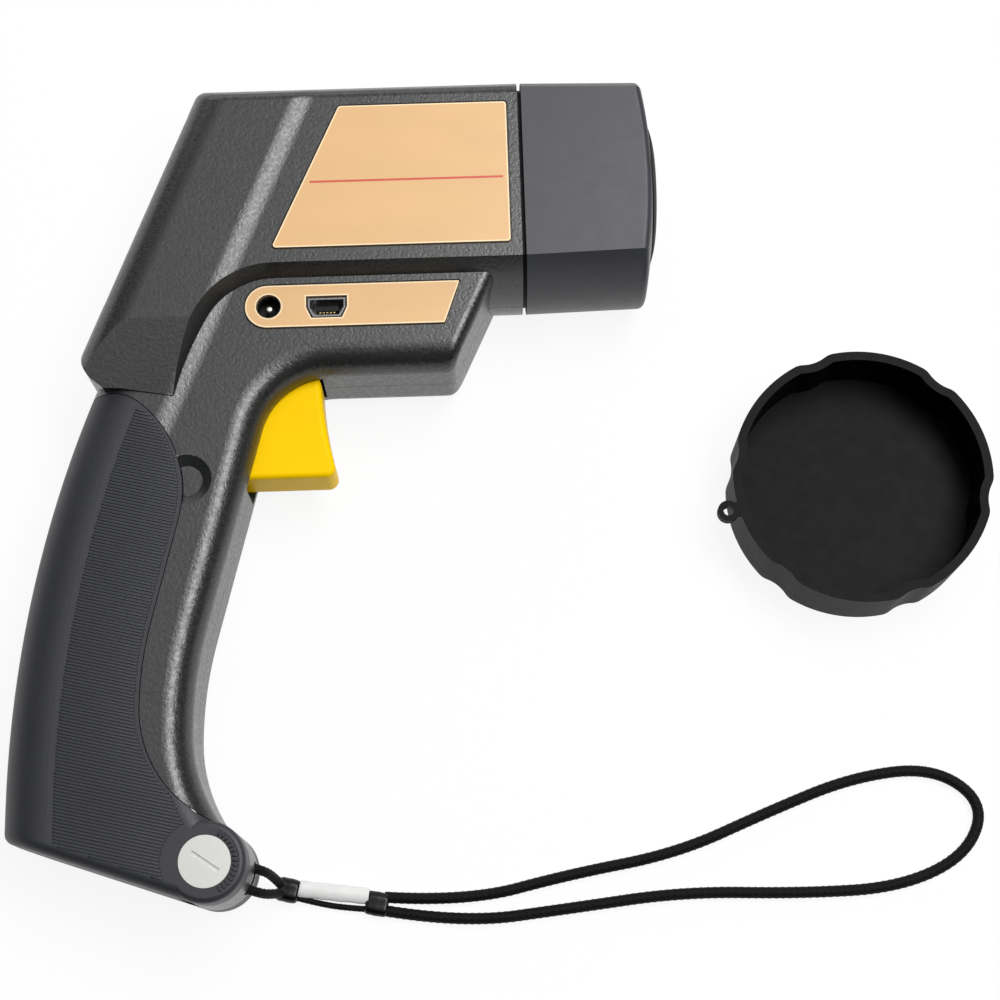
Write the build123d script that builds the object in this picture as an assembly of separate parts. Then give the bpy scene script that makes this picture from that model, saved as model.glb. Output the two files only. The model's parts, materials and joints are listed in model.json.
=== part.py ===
"""Handheld colour meter of the pistol-grip kind, lying on its left side, with cap and strap.

Drawing frame: X runs forward along the barrel, Y runs up towards the top of the head, Z runs
from the left side to the right side. The barrel axis is y = 0, the front end of the head is
x = 0 and the parting plane of the two housing halves is z = 0. The finished pieces are moved
so that the meter lies on the ground plane, right side up. Every length is in millimetres.
"""
import os
from math import atan2, cos, degrees, pi, radians, sin, sqrt, tan

from build123d import *

# Housing
HEAD_HALF = 17.0          # half thickness of the head, flat to flat
GRIP_HALF = 13.5          # half thickness of jaw, neck and grip
BARREL_R = 26.8           # round top and bottom of the barrel
WALL = 2.0                # moulded wall
PARTING_GAP = 0.15        # line between the housing halves
TINY = 1e-3               # how far a corner may lie from the plane that it is picked by
PIECE_GAP = 0.2           # line round covers, plates and the door
JOINT_BACK = 60.0         # how far back the round barrel runs
MOUTH_START = -6.0        # where the barrel's front mouth begins
EDGE_R = 6.0              # long edges of jaw and grip front
JAW_EDGE_R = 2.6          # edges of the jaw's slanted front
BASE_EDGE_R = 2.4         # edges of the sloping base
HEEL_EDGE_R = 1.3         # edges of the round heel
GRIP_REAR_R = 11.0        # long edges at the back of the grip

# Side outline of jaw and grip
JAW_BOTTOM = 44.9         # underside of the jaw below the barrel axis
JAW_FRONT_TOP = (-5.6, -22.0)
JAW_FRONT_LOW = (-14.9, -41.7)
FINGER_X = -44.0          # where the underside turns down into the grip
FINGER_R = 16.0
FINGER_TURN = 75.3        # degrees
GRIP_STRAIGHT = 46.2
PALM_R = 90.0
PALM_TURN = 14.7
FOOT_R = 35.0
FOOT_TURN = 37.0
ROOT = ((-84.0, -20.0), (-60.0, -8.0))         # inside the head, where jaw and grip end
ROOT_MARGIN = 1.0         # edges that lie this far below it are free to be rounded
GRIP_BACK_X = -114.8
GRIP_BACK_Y = -140.0
GRIP_BACK_R = 260.0
GRIP_BACK_TURN = 22.4

# Side view of the seam between the housing and the battery door, from the neck down to the heel
SEAM_START = (-94.3, -48.8)
SEAM_TOP = ((13.5, -40.7), (26.4, -63.2))     # radius and turn in degrees of each arc
SEAM_STRAIGHT = 23.2
SEAM_FOOT = ((79.4, 13.6), (26.6, 72.1))
SEAM_BACK = -140.0
SEAM_LOW = -185.0

# Hinge of the battery door, at the heel of the grip
PIN = (-70.8, -152.4)
HEEL_R = 8.6
HEEL_LAP = 0.5            # how far the shell laps below the pin in front of it
BASE_SLOPE = 19.3         # degrees, how much the base rises to the back
PIN_HEAD_R = 5.5
PIN_HEAD_T = 1.2
PIN_SHAFT_R = 2.5
PIN_FIT = 0.05            # running clearance round the pin
PIN_SLOT = (7.0, 0.9, 0.5)
PIN_SLOT_TILT = -35.0
KNUCKLE_HALF = 6.6
EAR_INNER = 6.9
KNUCKLE_GAP = 0.8         # room that the door keeps round the knuckle as it swings
WEB_ANGLES = (97.0, 124.0)      # the web that joins the knuckle to the tray
WEB_REACH = 11.2

# Back of the head, where the display is
SLANT_TOP = (-73.7, BARREL_R - 0.5)
SLANT_LOW = (-98.1, -34.8)
BEAK_MID = (-99.2, -40.6)
BEAK_END = (-96.6, -46.0)
REAR_EDGE_R = 9.0
REAR_CORNER_R = 3.0       # where the back meets the round top
STEP_X = -56.0            # where the step from head to neck leaves the barrel
STEP_Y = -sqrt(BARREL_R ** 2 - HEAD_HALF ** 2)          # edge of the flat side there
STEP_SPREAD = sqrt(BARREL_R ** 2 - GRIP_HALF ** 2) + STEP_Y     # and how far its sloping wall spreads
STEP_R = 19.6
STEP_TURN = 61.0
STEP_FALL_R = 78.0
STEP_FALL_TURN = 15.0
CHIN = ((-94.0, -48.1), (-89.8, -48.4))       # underside of the head behind the neck
BLOCK_FRONT = -45.0       # front end of the wide rear part, inside the barrel
TAPER_START = -33.0       # below this the head thins down to the grip
TAPER_END = -52.0

# Muzzle
MUZZLE_LENGTH = 28.3      # to where the domed front begins
MUZZLE_DOME = 2.7         # how far the front bulges
MUZZLE_FRONT_R = 26.2
MUZZLE_WALL = 2.2
MUZZLE_GAP = 0.9
MUZZLE_LIP_R = 1.6
GASKET_INSET = 1.6
GASKET_W = 1.4
NOSE_R = 15.9
NOSE_INNER_R = 9.0
NOSE_PROUD = 3.1
NOSE_RIM = 2.0
NOSE_DEPTH = 2.4
NOSE_BORE_R = 14.6
NOSE_CROWN = (0.93, 0.5)  # middle of its crown, as shares of its reach and width
NOSE_LIP = 1.0
APERTURE_R = 5.5
GLASS_R = 8.0
GLASS_T = 1.5

# Optics inside the muzzle
CHAMBER_R = 13.8
CHAMBER_WALL = 1.5
CHAMBER_LENGTH = 20.0
LAMP_COUNT = 8
LAMP_RING_R = 9.8
LAMP_R = 1.5
LAMP_BODY = 2.0
LENS_R = 5.0
LENS_T = 3.5
LENS_CURVE_R = 12.0
LENS_BACKSET = 0.5        # behind the mouth of its barrel
LENS_STANDOFF = 1.0       # how far the barrel stands into the light chamber
LENS_BARREL_R = 6.5
LENS_BARREL_LENGTH = 16.0
BOARD_T = 1.6
SENSOR_BOARD = (26.0, 26.0)
SENSOR_SIZE = (6.0, 6.0, 1.8)

# Plates on the sides
PLATE_T = 0.6
PLATE_PROUD = 0.15
PLATE_R = 0.9
SINK_LEFT = 0.1           # the left plate lies this far below its flat side
PLATE_TOP = 17.2
PLATE_BOTTOM = -17.5
PLATE_FRONT = -2.4
PLATE_BACK_TOP = -41.0
PLATE_BACK_BOTTOM = -56.6
RULE_Y = -1.6
RULE_W = 0.55
RULE_START = -47.6
RULE_END = -3.8
RULE_T = 0.12

PORT_LEFT = -57.6         # centre of the round end
PORT_Y = -30.0
PORT_HALF = 5.15
PORT_RIGHT_TOP = -14.1
PORT_RIGHT_LOW = -17.8
JACK_X = -57.3
JACK_HOLE_R = 2.6
JACK_PIN_R = 0.8
JACK_BODY = 9.0
JACK_PIN_BACK = 1.4       # below the face of the plate
JACK_PIN_TIP_R = 0.5
SOCKET_FLOOR = 0.8
USB_X = -44.3
USB_Y = -30.4
USB_W = 8.4
USB_H = 4.4
USB_WALL = 0.4
USB_TAPER = 1.1
USB_BACK = 0.2            # depths of shell, tongue and contacts below the side
USB_TONGUE = (5.0, 1.1)
USB_TONGUE_RISE = 0.1
USB_TONGUE_BACK = 1.6
USB_CONTACTS = 5
USB_CONTACT = (0.4, 0.3)
USB_CONTACT_PITCH = 0.8
USB_CONTACT_DROP = 0.6
USB_CONTACT_BACK = 2.0
PORT_BOARD = (28.0, 13.0)
PORT_BOARD_DROP = 0.6
PORT_BOARD_Z = 6.4

# Rear bezel, display and keys
BEZEL_W = 23.4
BEZEL_L = 54.0
BEZEL_T = 1.6
BEZEL_SINK = 0.8
BEZEL_R = 4.0
BEZEL_CENTRE = 33.0       # along the slanted back, from its top
WINDOW_W = 19.0
WINDOW_L = 25.0
WINDOW_T = 1.2
WINDOW_SHIFT = 12.0
WINDOW_R = 1.5
WINDOW_LEDGE = 1.2        # rim of the bezel behind the window
SEAT_FIT = 0.1
POCKET_LEDGE = 1.2        # rim of the housing behind the bezel
POCKET_DEPTH = 6.0
KEY_W = 7.6
KEY_L = 5.6
KEY_FIT = 0.2
KEY_PROUD = 1.0
KEY_PITCH_W = 9.8
KEY_PITCH_L = 8.6
KEY_SHIFT = -14.5
KEY_TRAVEL = 0.6
KEY_FLANGE = 0.9
KEY_MAT_T = 1.0
KEY_R = 1.4
KEY_EDGE_R = 0.6
KEY_SKIRT = 0.7
KEY_PLAY = 0.05
MAT_MARGIN = 0.5
BOARD_MARGIN = 1.5

# Trigger
TRIGGER_HALF = 6.0
TRIGGER_PIVOT = (-52.5, -39.5)
TRIGGER_HUB_R = 4.0
TRIGGER_PIN_R = 1.5
TRIGGER_SIDE_FIT = 0.35
TRIGGER_EDGE_R = 1.2
TRIGGER_TOP = (-46.4, -45.6)
TRIGGER_NECK = ((-60.0, -47.0), (-57.0, -42.0), (-48.5, -42.0))     # from the back round the hub
TRIGGER_HOLLOW = (-45.4, -55.6)
TRIGGER_NOSE = (-43.4, -65.0)
TRIGGER_TOE_R = 2.2
TRIGGER_BACK = -66.0
TRIGGER_SHOULDER = -62.5  # where the blade's back leans forward to the pivot
SLOT_MOUTH = ((-45.9, -40.0), (-45.9, -47.0))
SLOT_BOTTOM = -70.4
SLOT_FOOT = (-57.0, -74.0)       # front and back end of the slot's foot
SLOT_ROOF = -70.0
SEAT_X = -73.1            # front face of the wall behind spring and switch
SEAT_T = 1.9
SEAT_LENGTH = 14.0
SWITCH_SIZE = (5.0, 6.0, 6.0)
SWITCH_Y = -57.0
PLUNGER_R = 0.9
PLUNGER_LENGTH = 1.1
SPRING_Y = -65.4
SPRING_R = 1.9
SPRING_WIRE_R = 0.25
SPRING_TURNS = 6

# Battery bay
CELL_R = 5.25
CELL_LENGTH = 44.5
CELL_Z = 5.5
CELL_NUB = (1.9, 1.0)     # radius and height of the plus end
CELL_FOOT = (-100.4, -145.6)
CELL_FIT = 0.15
CELL_STEP = (2.0, 2.7)    # from the lower pair's top to the upper pair's foot
CELL_LEANS = (1.5, 8.0)   # degrees, lower and upper pair
CONTACT_T = 0.5
CONTACT_W = 8.0
CONTACT_LENGTH = 18.4
CONTACT_SHIFT = 0.9
TRAY_T = 1.8
TRAY_HALF = 11.2
TRAY_CURB_GAP = 0.6       # between the seam and the tray's front curb
TRAY_BOX = (90.0, 110.0)
TRAY_BOX_CENTRE = (-100.0, -105.0)
# Height of each rib above the foot of its pair of cells, and its front end
TRAY_RIBS = ((9.6, -78.2, 0), (37.6, -82.8, 0), (6.4, -79.2, 1), (32.4, -76.4, 1))

# Nail notch and housing screws
NAIL = (-75.4, -69.6)
NAIL_R = 5.6
NAIL_DEPTH = 1.5
NAIL_SLOPE = 2.2          # how far its sloping wall reaches inward
# Place of each screw and half thickness of the shell there
SCREW_PLACES = ((-66.0, 8.0, HEAD_HALF), (-84.0, -38.0, 16.0), (-26.0, -33.5, GRIP_HALF),
                (-72.4, -86.0, GRIP_HALF), (-78.0, -124.5, GRIP_HALF))
SCREW_HEAD_R = 2.4
SCREW_HEAD_T = 1.8
SCREW_R = 1.4
SCREW_SEAT = -4.0         # height where the heads bear, above and below the parting plane
SCREW_TIP = 6.0
BOSS_R = 3.2
BOSS_ROOT = 0.5           # how deep a boss stays below the middle of the wall

SCREW_CROSS = (3.0, 0.6, 0.6)

# Main board: underside, centre, size, and place, size and height of each chip
BOARD_Z = -6.0
BOARD_CENTRE = (-40.0, 1.0)
BOARD_SIZE = (38.0, 34.0)
CHIPS = ((-44.0, 4.0, 10.0, 10.0, 1.4), (-30.0, 8.0, 5.0, 6.0, 1.2), (-31.0, -5.0, 6.0, 4.0, 1.2),
         (-50.0, -9.0, 4.0, 5.0, 1.6), (-42.0, -11.0, 8.0, 3.0, 2.4))

# Strap bar in the heel
BAR_ANGLE = -17.0
BAR_OFFSET = 6.3
BAR_R = 1.1
BAR_FLOOR = 1.0           # blind end of the bar's hole
EYE_Z = -3.6
EYE_W = 3.0
EYE_R = 3.7

# Cap
CAP_CENTRE = (75.6, -69.2)
CAP_R = 29.5
WAVE_R = 4.2              # rounding between dents
CAP_WALL = 2.0
CAP_FLOOR = 2.0
CAP_HEIGHT = 16.0
DENT_COUNT = 6
DENT_START = 48.5
DENT_DEPTH = 1.0
DENT_R = 8.7
EYELET_ANGLE = 193.5
EYELET_REACH = 31.9
EYELET_R = 2.4
EYELET_HOLE_R = 1.1
EYELET_T = 2.4
EYELET_ARM = (3.4, 3.0)

# Wrist strap, in the drawing frame; the ground is at z = -17
STRAP_LOOP_R = 1.1
SHORT_LOOP = ((-57.7, -155.4, -13.2), (-59.3, -153.6, -8.4), (-61.0, -153.0, -3.9),
              (-66.4, -151.2, -3.6), (-67.8, -155.8, -3.6), (-62.9, -157.3, -3.8),
              (-60.6, -157.9, -6.8), (-58.8, -157.6, -10.4), (-57.7, -157.3, -13.4))
# Name, centre, size and turn of each crimp
CRIMPS = (("strap_rear_crimp", (-56.2, -156.6, -14.2), (3.6, 5.2, 4.4), -14.0),
          ("strap_front_crimp", (-36.7, -160.1, -15.2), (4.0, 5.2, 3.6), -12.0))
CRIMP_EDGE_R = 0.6
LINK_R = 0.7
LINK_CORD = ((-54.6, -158.2, -15.4), (-49.2, -159.7, -15.9), (-43.6, -160.7, -16.0),
             (-38.6, -161.2, -15.7))
SLEEVE_R = 1.2
SLEEVE = ((-54.5, -155.7, -14.6), (-38.7, -158.9, -15.5))
WRIST_R = 1.3
WRIST_LOOP = ((-35.0, -158.7, -15.6), (-17.0, -160.3, -15.6), (6.0, -155.0, -15.6),
              (30.0, -151.2, -15.6), (51.0, -142.6, -15.6), (70.0, -135.6, -15.6),
              (88.5, -133.8, -15.6), (99.5, -142.2, -15.6), (94.5, -153.6, -15.6),
              (79.0, -160.2, -15.6), (57.0, -160.8, -15.6), (31.0, -159.6, -15.6),
              (6.0, -162.4, -15.6), (-18.0, -164.9, -15.6), (-35.2, -161.6, -15.6))

# Where the drawing frame's origin lies in the finished part
DATUM = (4.85, 67.1)

MUZZLE_DOME_R = (MUZZLE_FRONT_R ** 2 + MUZZLE_DOME ** 2) / (2 * MUZZLE_DOME)
FAR = 2 * (MUZZLE_LENGTH - GRIP_BACK_X - GRIP_BACK_Y)      # well past every end of the meter
OVERSHOOT = WALL / 2      # how far a cut runs past the face that it opens

os.makedirs("parts", exist_ok=True)
PLACE = Location((DATUM[0], DATUM[1], HEAD_HALF))
parts = {}


def prism(face, low, high):
    """Solid between two heights over a flat face drawn on the side view."""
    return extrude(Plane.XY.offset(low) * face, amount=high - low)


def slab(face, half):
    """Solid of equal reach on both sides of the parting plane."""
    return prism(face, -half, half)


def polygon(*points):
    """Face inside straight lines."""
    return make_face(Polyline(*points, close=True))


def round_along_x(radius, start, end):
    """Cylinder on the barrel axis."""
    return Pos((start + end) / 2, 0, 0) * Rot(0, 90, 0) * Cylinder(radius, end - start)


def flat_round(radius, half, start, end):
    """Cylinder on the barrel axis with two flat sides."""
    flats = Pos((start + end) / 2, 0, 0) * Box(end - start, 4 * radius, 2 * half)
    return round_along_x(radius, start, end) & flats


def disc(centre, radius, low, high):
    """Cylinder across the meter."""
    return prism(Pos(*centre) * Circle(radius), low, high)


def beside(point, angle, distance):
    """Point at a distance and a bearing from another."""
    turn = radians(angle)
    return (point[0] + distance * cos(turn), point[1] + distance * sin(turn))


# Directions of the slanted back
DOWN = Vector(SLANT_LOW[0] - SLANT_TOP[0], SLANT_LOW[1] - SLANT_TOP[1], 0).normalized()
OUT = Vector(DOWN.Y, -DOWN.X, 0)


def back_plane(depth, along):
    """Plane on the slanted back: x across the meter, y up the slope, z outward."""
    origin = Vector(*SLANT_TOP, 0) + DOWN * along - OUT * depth
    return Plane(origin=origin, x_dir=(0, 0, 1), z_dir=OUT)


def grip_blank(inset):
    """Jaw and grip with rounded long edges, longer than needed at both ends."""
    ahead = GRIP_HALF
    underside = Line((ahead, -JAW_BOTTOM), (FINGER_X, -JAW_BOTTOM))
    finger = JernArc(underside @ 1, underside % 1, FINGER_R, FINGER_TURN)
    front = PolarLine(finger @ 1, GRIP_STRAIGHT, direction=finger % 1)
    palm = JernArc(front @ 1, front % 1, PALM_R, PALM_TURN)
    foot = JernArc(palm @ 1, palm % 1, FOOT_R, FOOT_TURN)
    toe = PolarLine(foot @ 1, 3.5 * HEEL_R, direction=foot % 1)
    back = JernArc((GRIP_BACK_X, GRIP_BACK_Y), (0, 1), GRIP_BACK_R, -GRIP_BACK_TURN)
    lower = Polyline(toe @ 1, (GRIP_BACK_X, (toe @ 1).Y), (GRIP_BACK_X, GRIP_BACK_Y))
    upper = Polyline(back @ 1, *ROOT, (ahead, ROOT[1][1]), (ahead, -JAW_BOTTOM))
    outline = make_face([underside, finger, front, palm, foot, toe, lower, back, upper])
    if inset:
        outline = offset(outline, amount=-inset, kind=Kind.INTERSECTION)
    half = GRIP_HALF - inset
    blank = slab(outline, half)
    sides = [edge for edge in blank.edges() if abs(abs(edge.center().Z) - half) < TINY]
    rear = [edge for edge in sides if edge.center().X < SLANT_LOW[0] and edge.length > GRIP_REAR_R]
    blank = fillet(rear, GRIP_REAR_R - inset)
    sides = [edge for edge in blank.edges() if abs(abs(edge.center().Z) - half) < TINY]
    lead = [edge for edge in sides
            if edge.center().Y < JAW_FRONT_LOW[1] and edge.center().X > PIN[0] - HEEL_R]
    return fillet(lead, EDGE_R - inset)


def jaw_front(inset):
    """Everything behind the slanted front of the jaw."""
    run = Vector(JAW_FRONT_LOW[0] - JAW_FRONT_TOP[0], JAW_FRONT_LOW[1] - JAW_FRONT_TOP[1], 0).normalized()
    back = Vector(run.Y, -run.X, 0)
    top = Vector(*JAW_FRONT_TOP, 0) + back * inset - run * BARREL_R
    low = Vector(*JAW_FRONT_LOW, 0) + back * inset + run * BARREL_R
    keep = polygon((top.X, top.Y), (low.X, low.Y), (low.X, -FAR), (-FAR, -FAR), (-FAR, top.Y))
    return slab(keep, FAR)


def base_keep(inset):
    """Everything above the sloping base and behind the round heel."""
    foot = beside(PIN, -90 - BASE_SLOPE, HEEL_R - inset)
    back = beside(foot, 180 - BASE_SLOPE, FAR)
    lap = PIN[1] + HEEL_LAP
    keep = polygon(foot, back, (back[0], FAR), (FAR, FAR), (FAR, lap), (PIN[0], lap), (PIN[0], foot[1]))
    return slab(keep, FAR)


def grip_solid(inset):
    """Jaw and grip cut to their front and base, with both cuts rounded off."""
    jaw = grip_blank(inset) & jaw_front(inset)
    front = jaw.faces().sort_by(Axis.X)[-1]
    rim = [edge for edge in front.edges() if edge.center().Y < ROOT[1][1] - ROOT_MARGIN]
    jaw = fillet(rim, JAW_EDGE_R - inset)
    grip = jaw & base_keep(inset)
    down = Vector(-sin(radians(BASE_SLOPE)), -cos(radians(BASE_SLOPE)), 0)
    base = [face for face in grip.faces() if (face.normal_at() - down).length < TINY][0]
    rim = [edge for edge in base.edges() if edge.center().X < PIN[0] - HEEL_R]
    return fillet(rim, BASE_EDGE_R - inset)


def head_face(spread):
    """Side view of the wide part behind the barrel; spread moves the step outward."""
    top = SLANT_TOP[1] + WALL
    slope = Line((SLANT_TOP[0] + WALL * DOWN.X / DOWN.Y, top), SLANT_LOW)
    beak = ThreePointArc(SLANT_LOW, BEAK_MID, BEAK_END)
    step = JernArc((STEP_X, STEP_Y - spread), (-1, 0), STEP_R - spread, STEP_TURN)
    fall = JernArc(step @ 1, step % 1, STEP_FALL_R - spread, STEP_FALL_TURN)
    under = Polyline(BEAK_END, *CHIN, fall @ 1)
    rest = Polyline((STEP_X, STEP_Y - spread), (BLOCK_FRONT, STEP_Y - spread), (BLOCK_FRONT, top), slope @ 0)
    return make_face([slope, beak, under, fall, step, rest])


def step_slope():
    """Wedge that slopes the step's wall from the flat sides down to the jaw, as the barrel's side does."""
    high = head_face(0)
    low = head_face(STEP_SPREAD)
    wedge = slab(low, GRIP_HALF)
    for side in (-1, 1):
        sections = [Plane.XY.offset(side * GRIP_HALF) * low, Plane.XY.offset(side * HEAD_HALF) * high]
        wedge = wedge + loft(sections, ruled=True)
    return wedge


def head_solid(inset):
    """Barrel and the wide part behind it, with a rounded back and a taper to the grip."""
    radius = BARREL_R - inset
    half = HEAD_HALF - inset
    if inset:
        rear = slab(offset(head_face(0), amount=-inset, kind=Kind.INTERSECTION), half)
    else:
        rear = step_slope()
    crown = round_along_x(radius, -FAR, FAR)
    low = Pos(0, -FAR / 2, 0) * Box(2 * FAR, FAR, FAR)
    rear = rear & (crown + low)
    barrel = flat_round(radius, half, -JOINT_BACK, -inset)
    head = rear + barrel
    across = Plane(origin=Vector(*SLANT_TOP, 0) - OUT * inset, x_dir=OUT, z_dir=DOWN)
    round_back = Pos(-FAR / 2, 0) * Rectangle(FAR, 2 * half)
    corners = [vertex for vertex in round_back.vertices() if abs(vertex.X) < 1e-6]
    round_back = fillet(corners, REAR_EDGE_R - inset)
    head = head & extrude(across.offset(-FAR) * round_back, amount=2 * FAR)
    corner = [edge for edge in head.edges() if edge.center().Y > 0 and edge.geom_type == GeomType.ELLIPSE]
    head = fillet(corner, REAR_CORNER_R - inset)
    thin = GRIP_HALF - inset
    taper = polygon((FAR, half), (TAPER_START, half), (TAPER_END, thin), (-FAR, thin),
                    (-FAR, -thin), (TAPER_END, -thin), (TAPER_START, -half), (FAR, -half))
    side = Plane(origin=(-FAR, 0, 0), x_dir=(0, 1, 0), z_dir=(1, 0, 0))
    return head & extrude(side * taper, amount=2 * FAR)


def door_region(gap):
    """Side view of the battery door, with its round ear about the hinge pin."""
    seam = [Line((SEAM_BACK, SEAM_START[1]), SEAM_START)]
    for radius, turn in SEAM_TOP:
        seam.append(JernArc(seam[-1] @ 1, seam[-1] % 1, radius, turn))
    seam.append(PolarLine(seam[-1] @ 1, SEAM_STRAIGHT, direction=seam[-1] % 1))
    for radius, turn in SEAM_FOOT:
        seam.append(JernArc(seam[-1] @ 1, seam[-1] % 1, radius, turn))
    end = seam[-1] @ 1
    rest = Polyline(end, (end.X, SEAM_LOW), (SEAM_BACK, SEAM_LOW), (SEAM_BACK, SEAM_START[1]))
    region = make_face(seam + [rest])
    if gap:
        region = offset(region, amount=gap)
    return region + Pos(*PIN) * Circle(HEEL_R + gap)


def heel(radius, low, high):
    """Round end of the grip about the hinge pin."""
    return disc(PIN, radius, low, high)


def shell_blank():
    """Whole outer shell of head, jaw and grip, before it is split."""
    outer = grip_solid(0) + head_solid(0)
    inner = grip_solid(WALL) + head_solid(WALL)
    return outer - inner


def muzzle_body():
    """Round muzzle with flat sides and a domed front."""
    start = MUZZLE_GAP
    end = MUZZLE_LENGTH
    dome = RadiusArc((end, MUZZLE_FRONT_R), (end + MUZZLE_DOME, 0), MUZZLE_DOME_R)
    rest = Polyline((end + MUZZLE_DOME, 0), (start, 0), (start, BARREL_R), (end, MUZZLE_FRONT_R))
    body = revolve(make_face([dome, rest]), Axis.X)
    body = body & (Pos(end / 2, 0, 0) * Box(FAR, 4 * BARREL_R, 2 * HEAD_HALF))
    front = body.faces().sort_by(Axis.X)[-1]
    return fillet(front.edges(), MUZZLE_LIP_R)


def muzzle():
    """Shroud, gasket, nose ring, glass, light chamber, lamps, lens and sensor."""
    start = MUZZLE_GAP
    end = MUZZLE_LENGTH
    shroud = muzzle_body()
    hollow = flat_round(MUZZLE_FRONT_R - MUZZLE_WALL, HEAD_HALF - MUZZLE_WALL, start - OVERSHOOT,
                        end - MUZZLE_WALL)
    shroud = shroud - hollow - round_along_x(NOSE_BORE_R, end - 2 * MUZZLE_WALL, FAR)
    shroud = shroud - round_along_x(NOSE_R + PIECE_GAP, end, FAR)
    parts["muzzle_shroud"] = shroud

    spigot = flat_round(BARREL_R - GASKET_INSET, HEAD_HALF - GASKET_INSET, 0, MUZZLE_GAP)
    bore = GASKET_INSET + GASKET_W
    gasket = spigot - flat_round(BARREL_R - bore, HEAD_HALF - bore, -OVERSHOOT, MUZZLE_GAP + OVERSHOOT)
    parts["muzzle_gasket"] = gasket

    glass_front = end - NOSE_DEPTH + GLASS_T
    collar_r = NOSE_BORE_R - PIECE_GAP
    rise, share = NOSE_CROWN
    middle_r = NOSE_INNER_R + share * (NOSE_R - NOSE_INNER_R)
    crown = ThreePointArc((end + NOSE_PROUD, NOSE_INNER_R), (end + rise * NOSE_PROUD, middle_r),
                          (end + NOSE_RIM, NOSE_R))
    rest = Polyline((end + NOSE_RIM, NOSE_R), (end, NOSE_R), (end, collar_r),
                    (end - NOSE_DEPTH, collar_r), (end - NOSE_DEPTH, GLASS_R + PIN_FIT),
                    (glass_front, GLASS_R + PIN_FIT), (glass_front, APERTURE_R),
                    (glass_front + NOSE_LIP, APERTURE_R), crown @ 0)
    nose = revolve(make_face([crown, rest]), Axis.X)
    parts["nose_ring"] = nose
    parts["aperture_glass"] = round_along_x(GLASS_R, end - NOSE_DEPTH, end - NOSE_DEPTH + GLASS_T)

    chamber_end = end - NOSE_DEPTH
    chamber_start = chamber_end - CHAMBER_LENGTH
    chamber = round_along_x(CHAMBER_R, chamber_start, chamber_end)
    bore = round_along_x(CHAMBER_R - CHAMBER_WALL, chamber_start - OVERSHOOT, chamber_end + OVERSHOOT)
    chamber = chamber - bore
    parts["light_chamber"] = chamber
    board = round_along_x(CHAMBER_R, chamber_start - BOARD_T, chamber_start)
    hole = round_along_x(LENS_BARREL_R + PIN_FIT, chamber_start - 2 * BOARD_T, chamber_start + OVERSHOOT)
    board = board - hole
    parts["lamp_board"] = board
    lamps = []
    for index in range(LAMP_COUNT):
        spot = Pos(chamber_start, 0, 0) * Rot(360 / LAMP_COUNT * index, 0, 0) * Pos(0, LAMP_RING_R, 0)
        bulb = spot * Rot(0, 90, 0) * Pos(0, 0, LAMP_BODY / 2) * Cylinder(LAMP_R, LAMP_BODY)
        lamps.append(bulb + spot * Pos(LAMP_BODY, 0, 0) * Sphere(LAMP_R))
    parts["lamps"] = Compound(lamps)

    lens_x = chamber_start + LENS_STANDOFF
    tube_start = lens_x - LENS_BARREL_LENGTH
    tube = round_along_x(LENS_BARREL_R, tube_start, lens_x)
    tube = tube - round_along_x(LENS_R, tube_start - OVERSHOOT, lens_x + OVERSHOOT)
    parts["lens_barrel"] = tube
    front = lens_x - LENS_BACKSET
    rear = front - LENS_T
    lens = round_along_x(LENS_R, rear, front)
    lens = lens & Pos(front - LENS_CURVE_R, 0, 0) * Sphere(LENS_CURVE_R)
    lens = lens & Pos(rear + LENS_CURVE_R, 0, 0) * Sphere(LENS_CURVE_R)
    parts["lens"] = lens
    sensor_x = tube_start - SENSOR_SIZE[2]
    parts["sensor"] = Pos(sensor_x + SENSOR_SIZE[2] / 2, 0, 0) * Box(SENSOR_SIZE[2], *SENSOR_SIZE[:2])
    plate = Pos(sensor_x - BOARD_T / 2, 0, 0) * Box(BOARD_T, *SENSOR_BOARD)
    parts["sensor_board"] = plate
    return sensor_x - BOARD_T


def side_plate_face(margin):
    """Outline of the slanted label plate on the side of the barrel."""
    outline = polygon((PLATE_BACK_TOP, PLATE_TOP), (PLATE_FRONT, PLATE_TOP), (PLATE_FRONT, PLATE_BOTTOM),
                      (PLATE_BACK_BOTTOM, PLATE_BOTTOM))
    outline = fillet(outline.vertices(), PLATE_R)
    return offset(outline, amount=margin, kind=Kind.ARC) if margin else outline


def port_plate_face(margin):
    """Outline of the plate round the two sockets, with one round end."""
    block = polygon((PORT_LEFT, PORT_Y + PORT_HALF), (PORT_RIGHT_TOP, PORT_Y + PORT_HALF),
                    (PORT_RIGHT_LOW, PORT_Y - PORT_HALF), (PORT_LEFT, PORT_Y - PORT_HALF))
    corners = [vertex for vertex in block.vertices() if vertex.X > PORT_LEFT + PORT_HALF]
    outline = fillet(corners, PLATE_R / 2) + Pos(PORT_LEFT, PORT_Y) * Circle(PORT_HALF)
    return offset(outline, amount=margin, kind=Kind.ARC) if margin else outline


def usb_face(margin):
    """Mouth of the small USB socket, wider at the top."""
    half = USB_W / 2 + margin
    top = USB_Y + USB_H / 2 + margin
    low = USB_Y - USB_H / 2 - margin
    neck = half - USB_TAPER
    return polygon((USB_X - half, top), (USB_X + half, top), (USB_X + half, USB_Y), (USB_X + neck, low),
                   (USB_X - neck, low), (USB_X - half, USB_Y))


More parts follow.
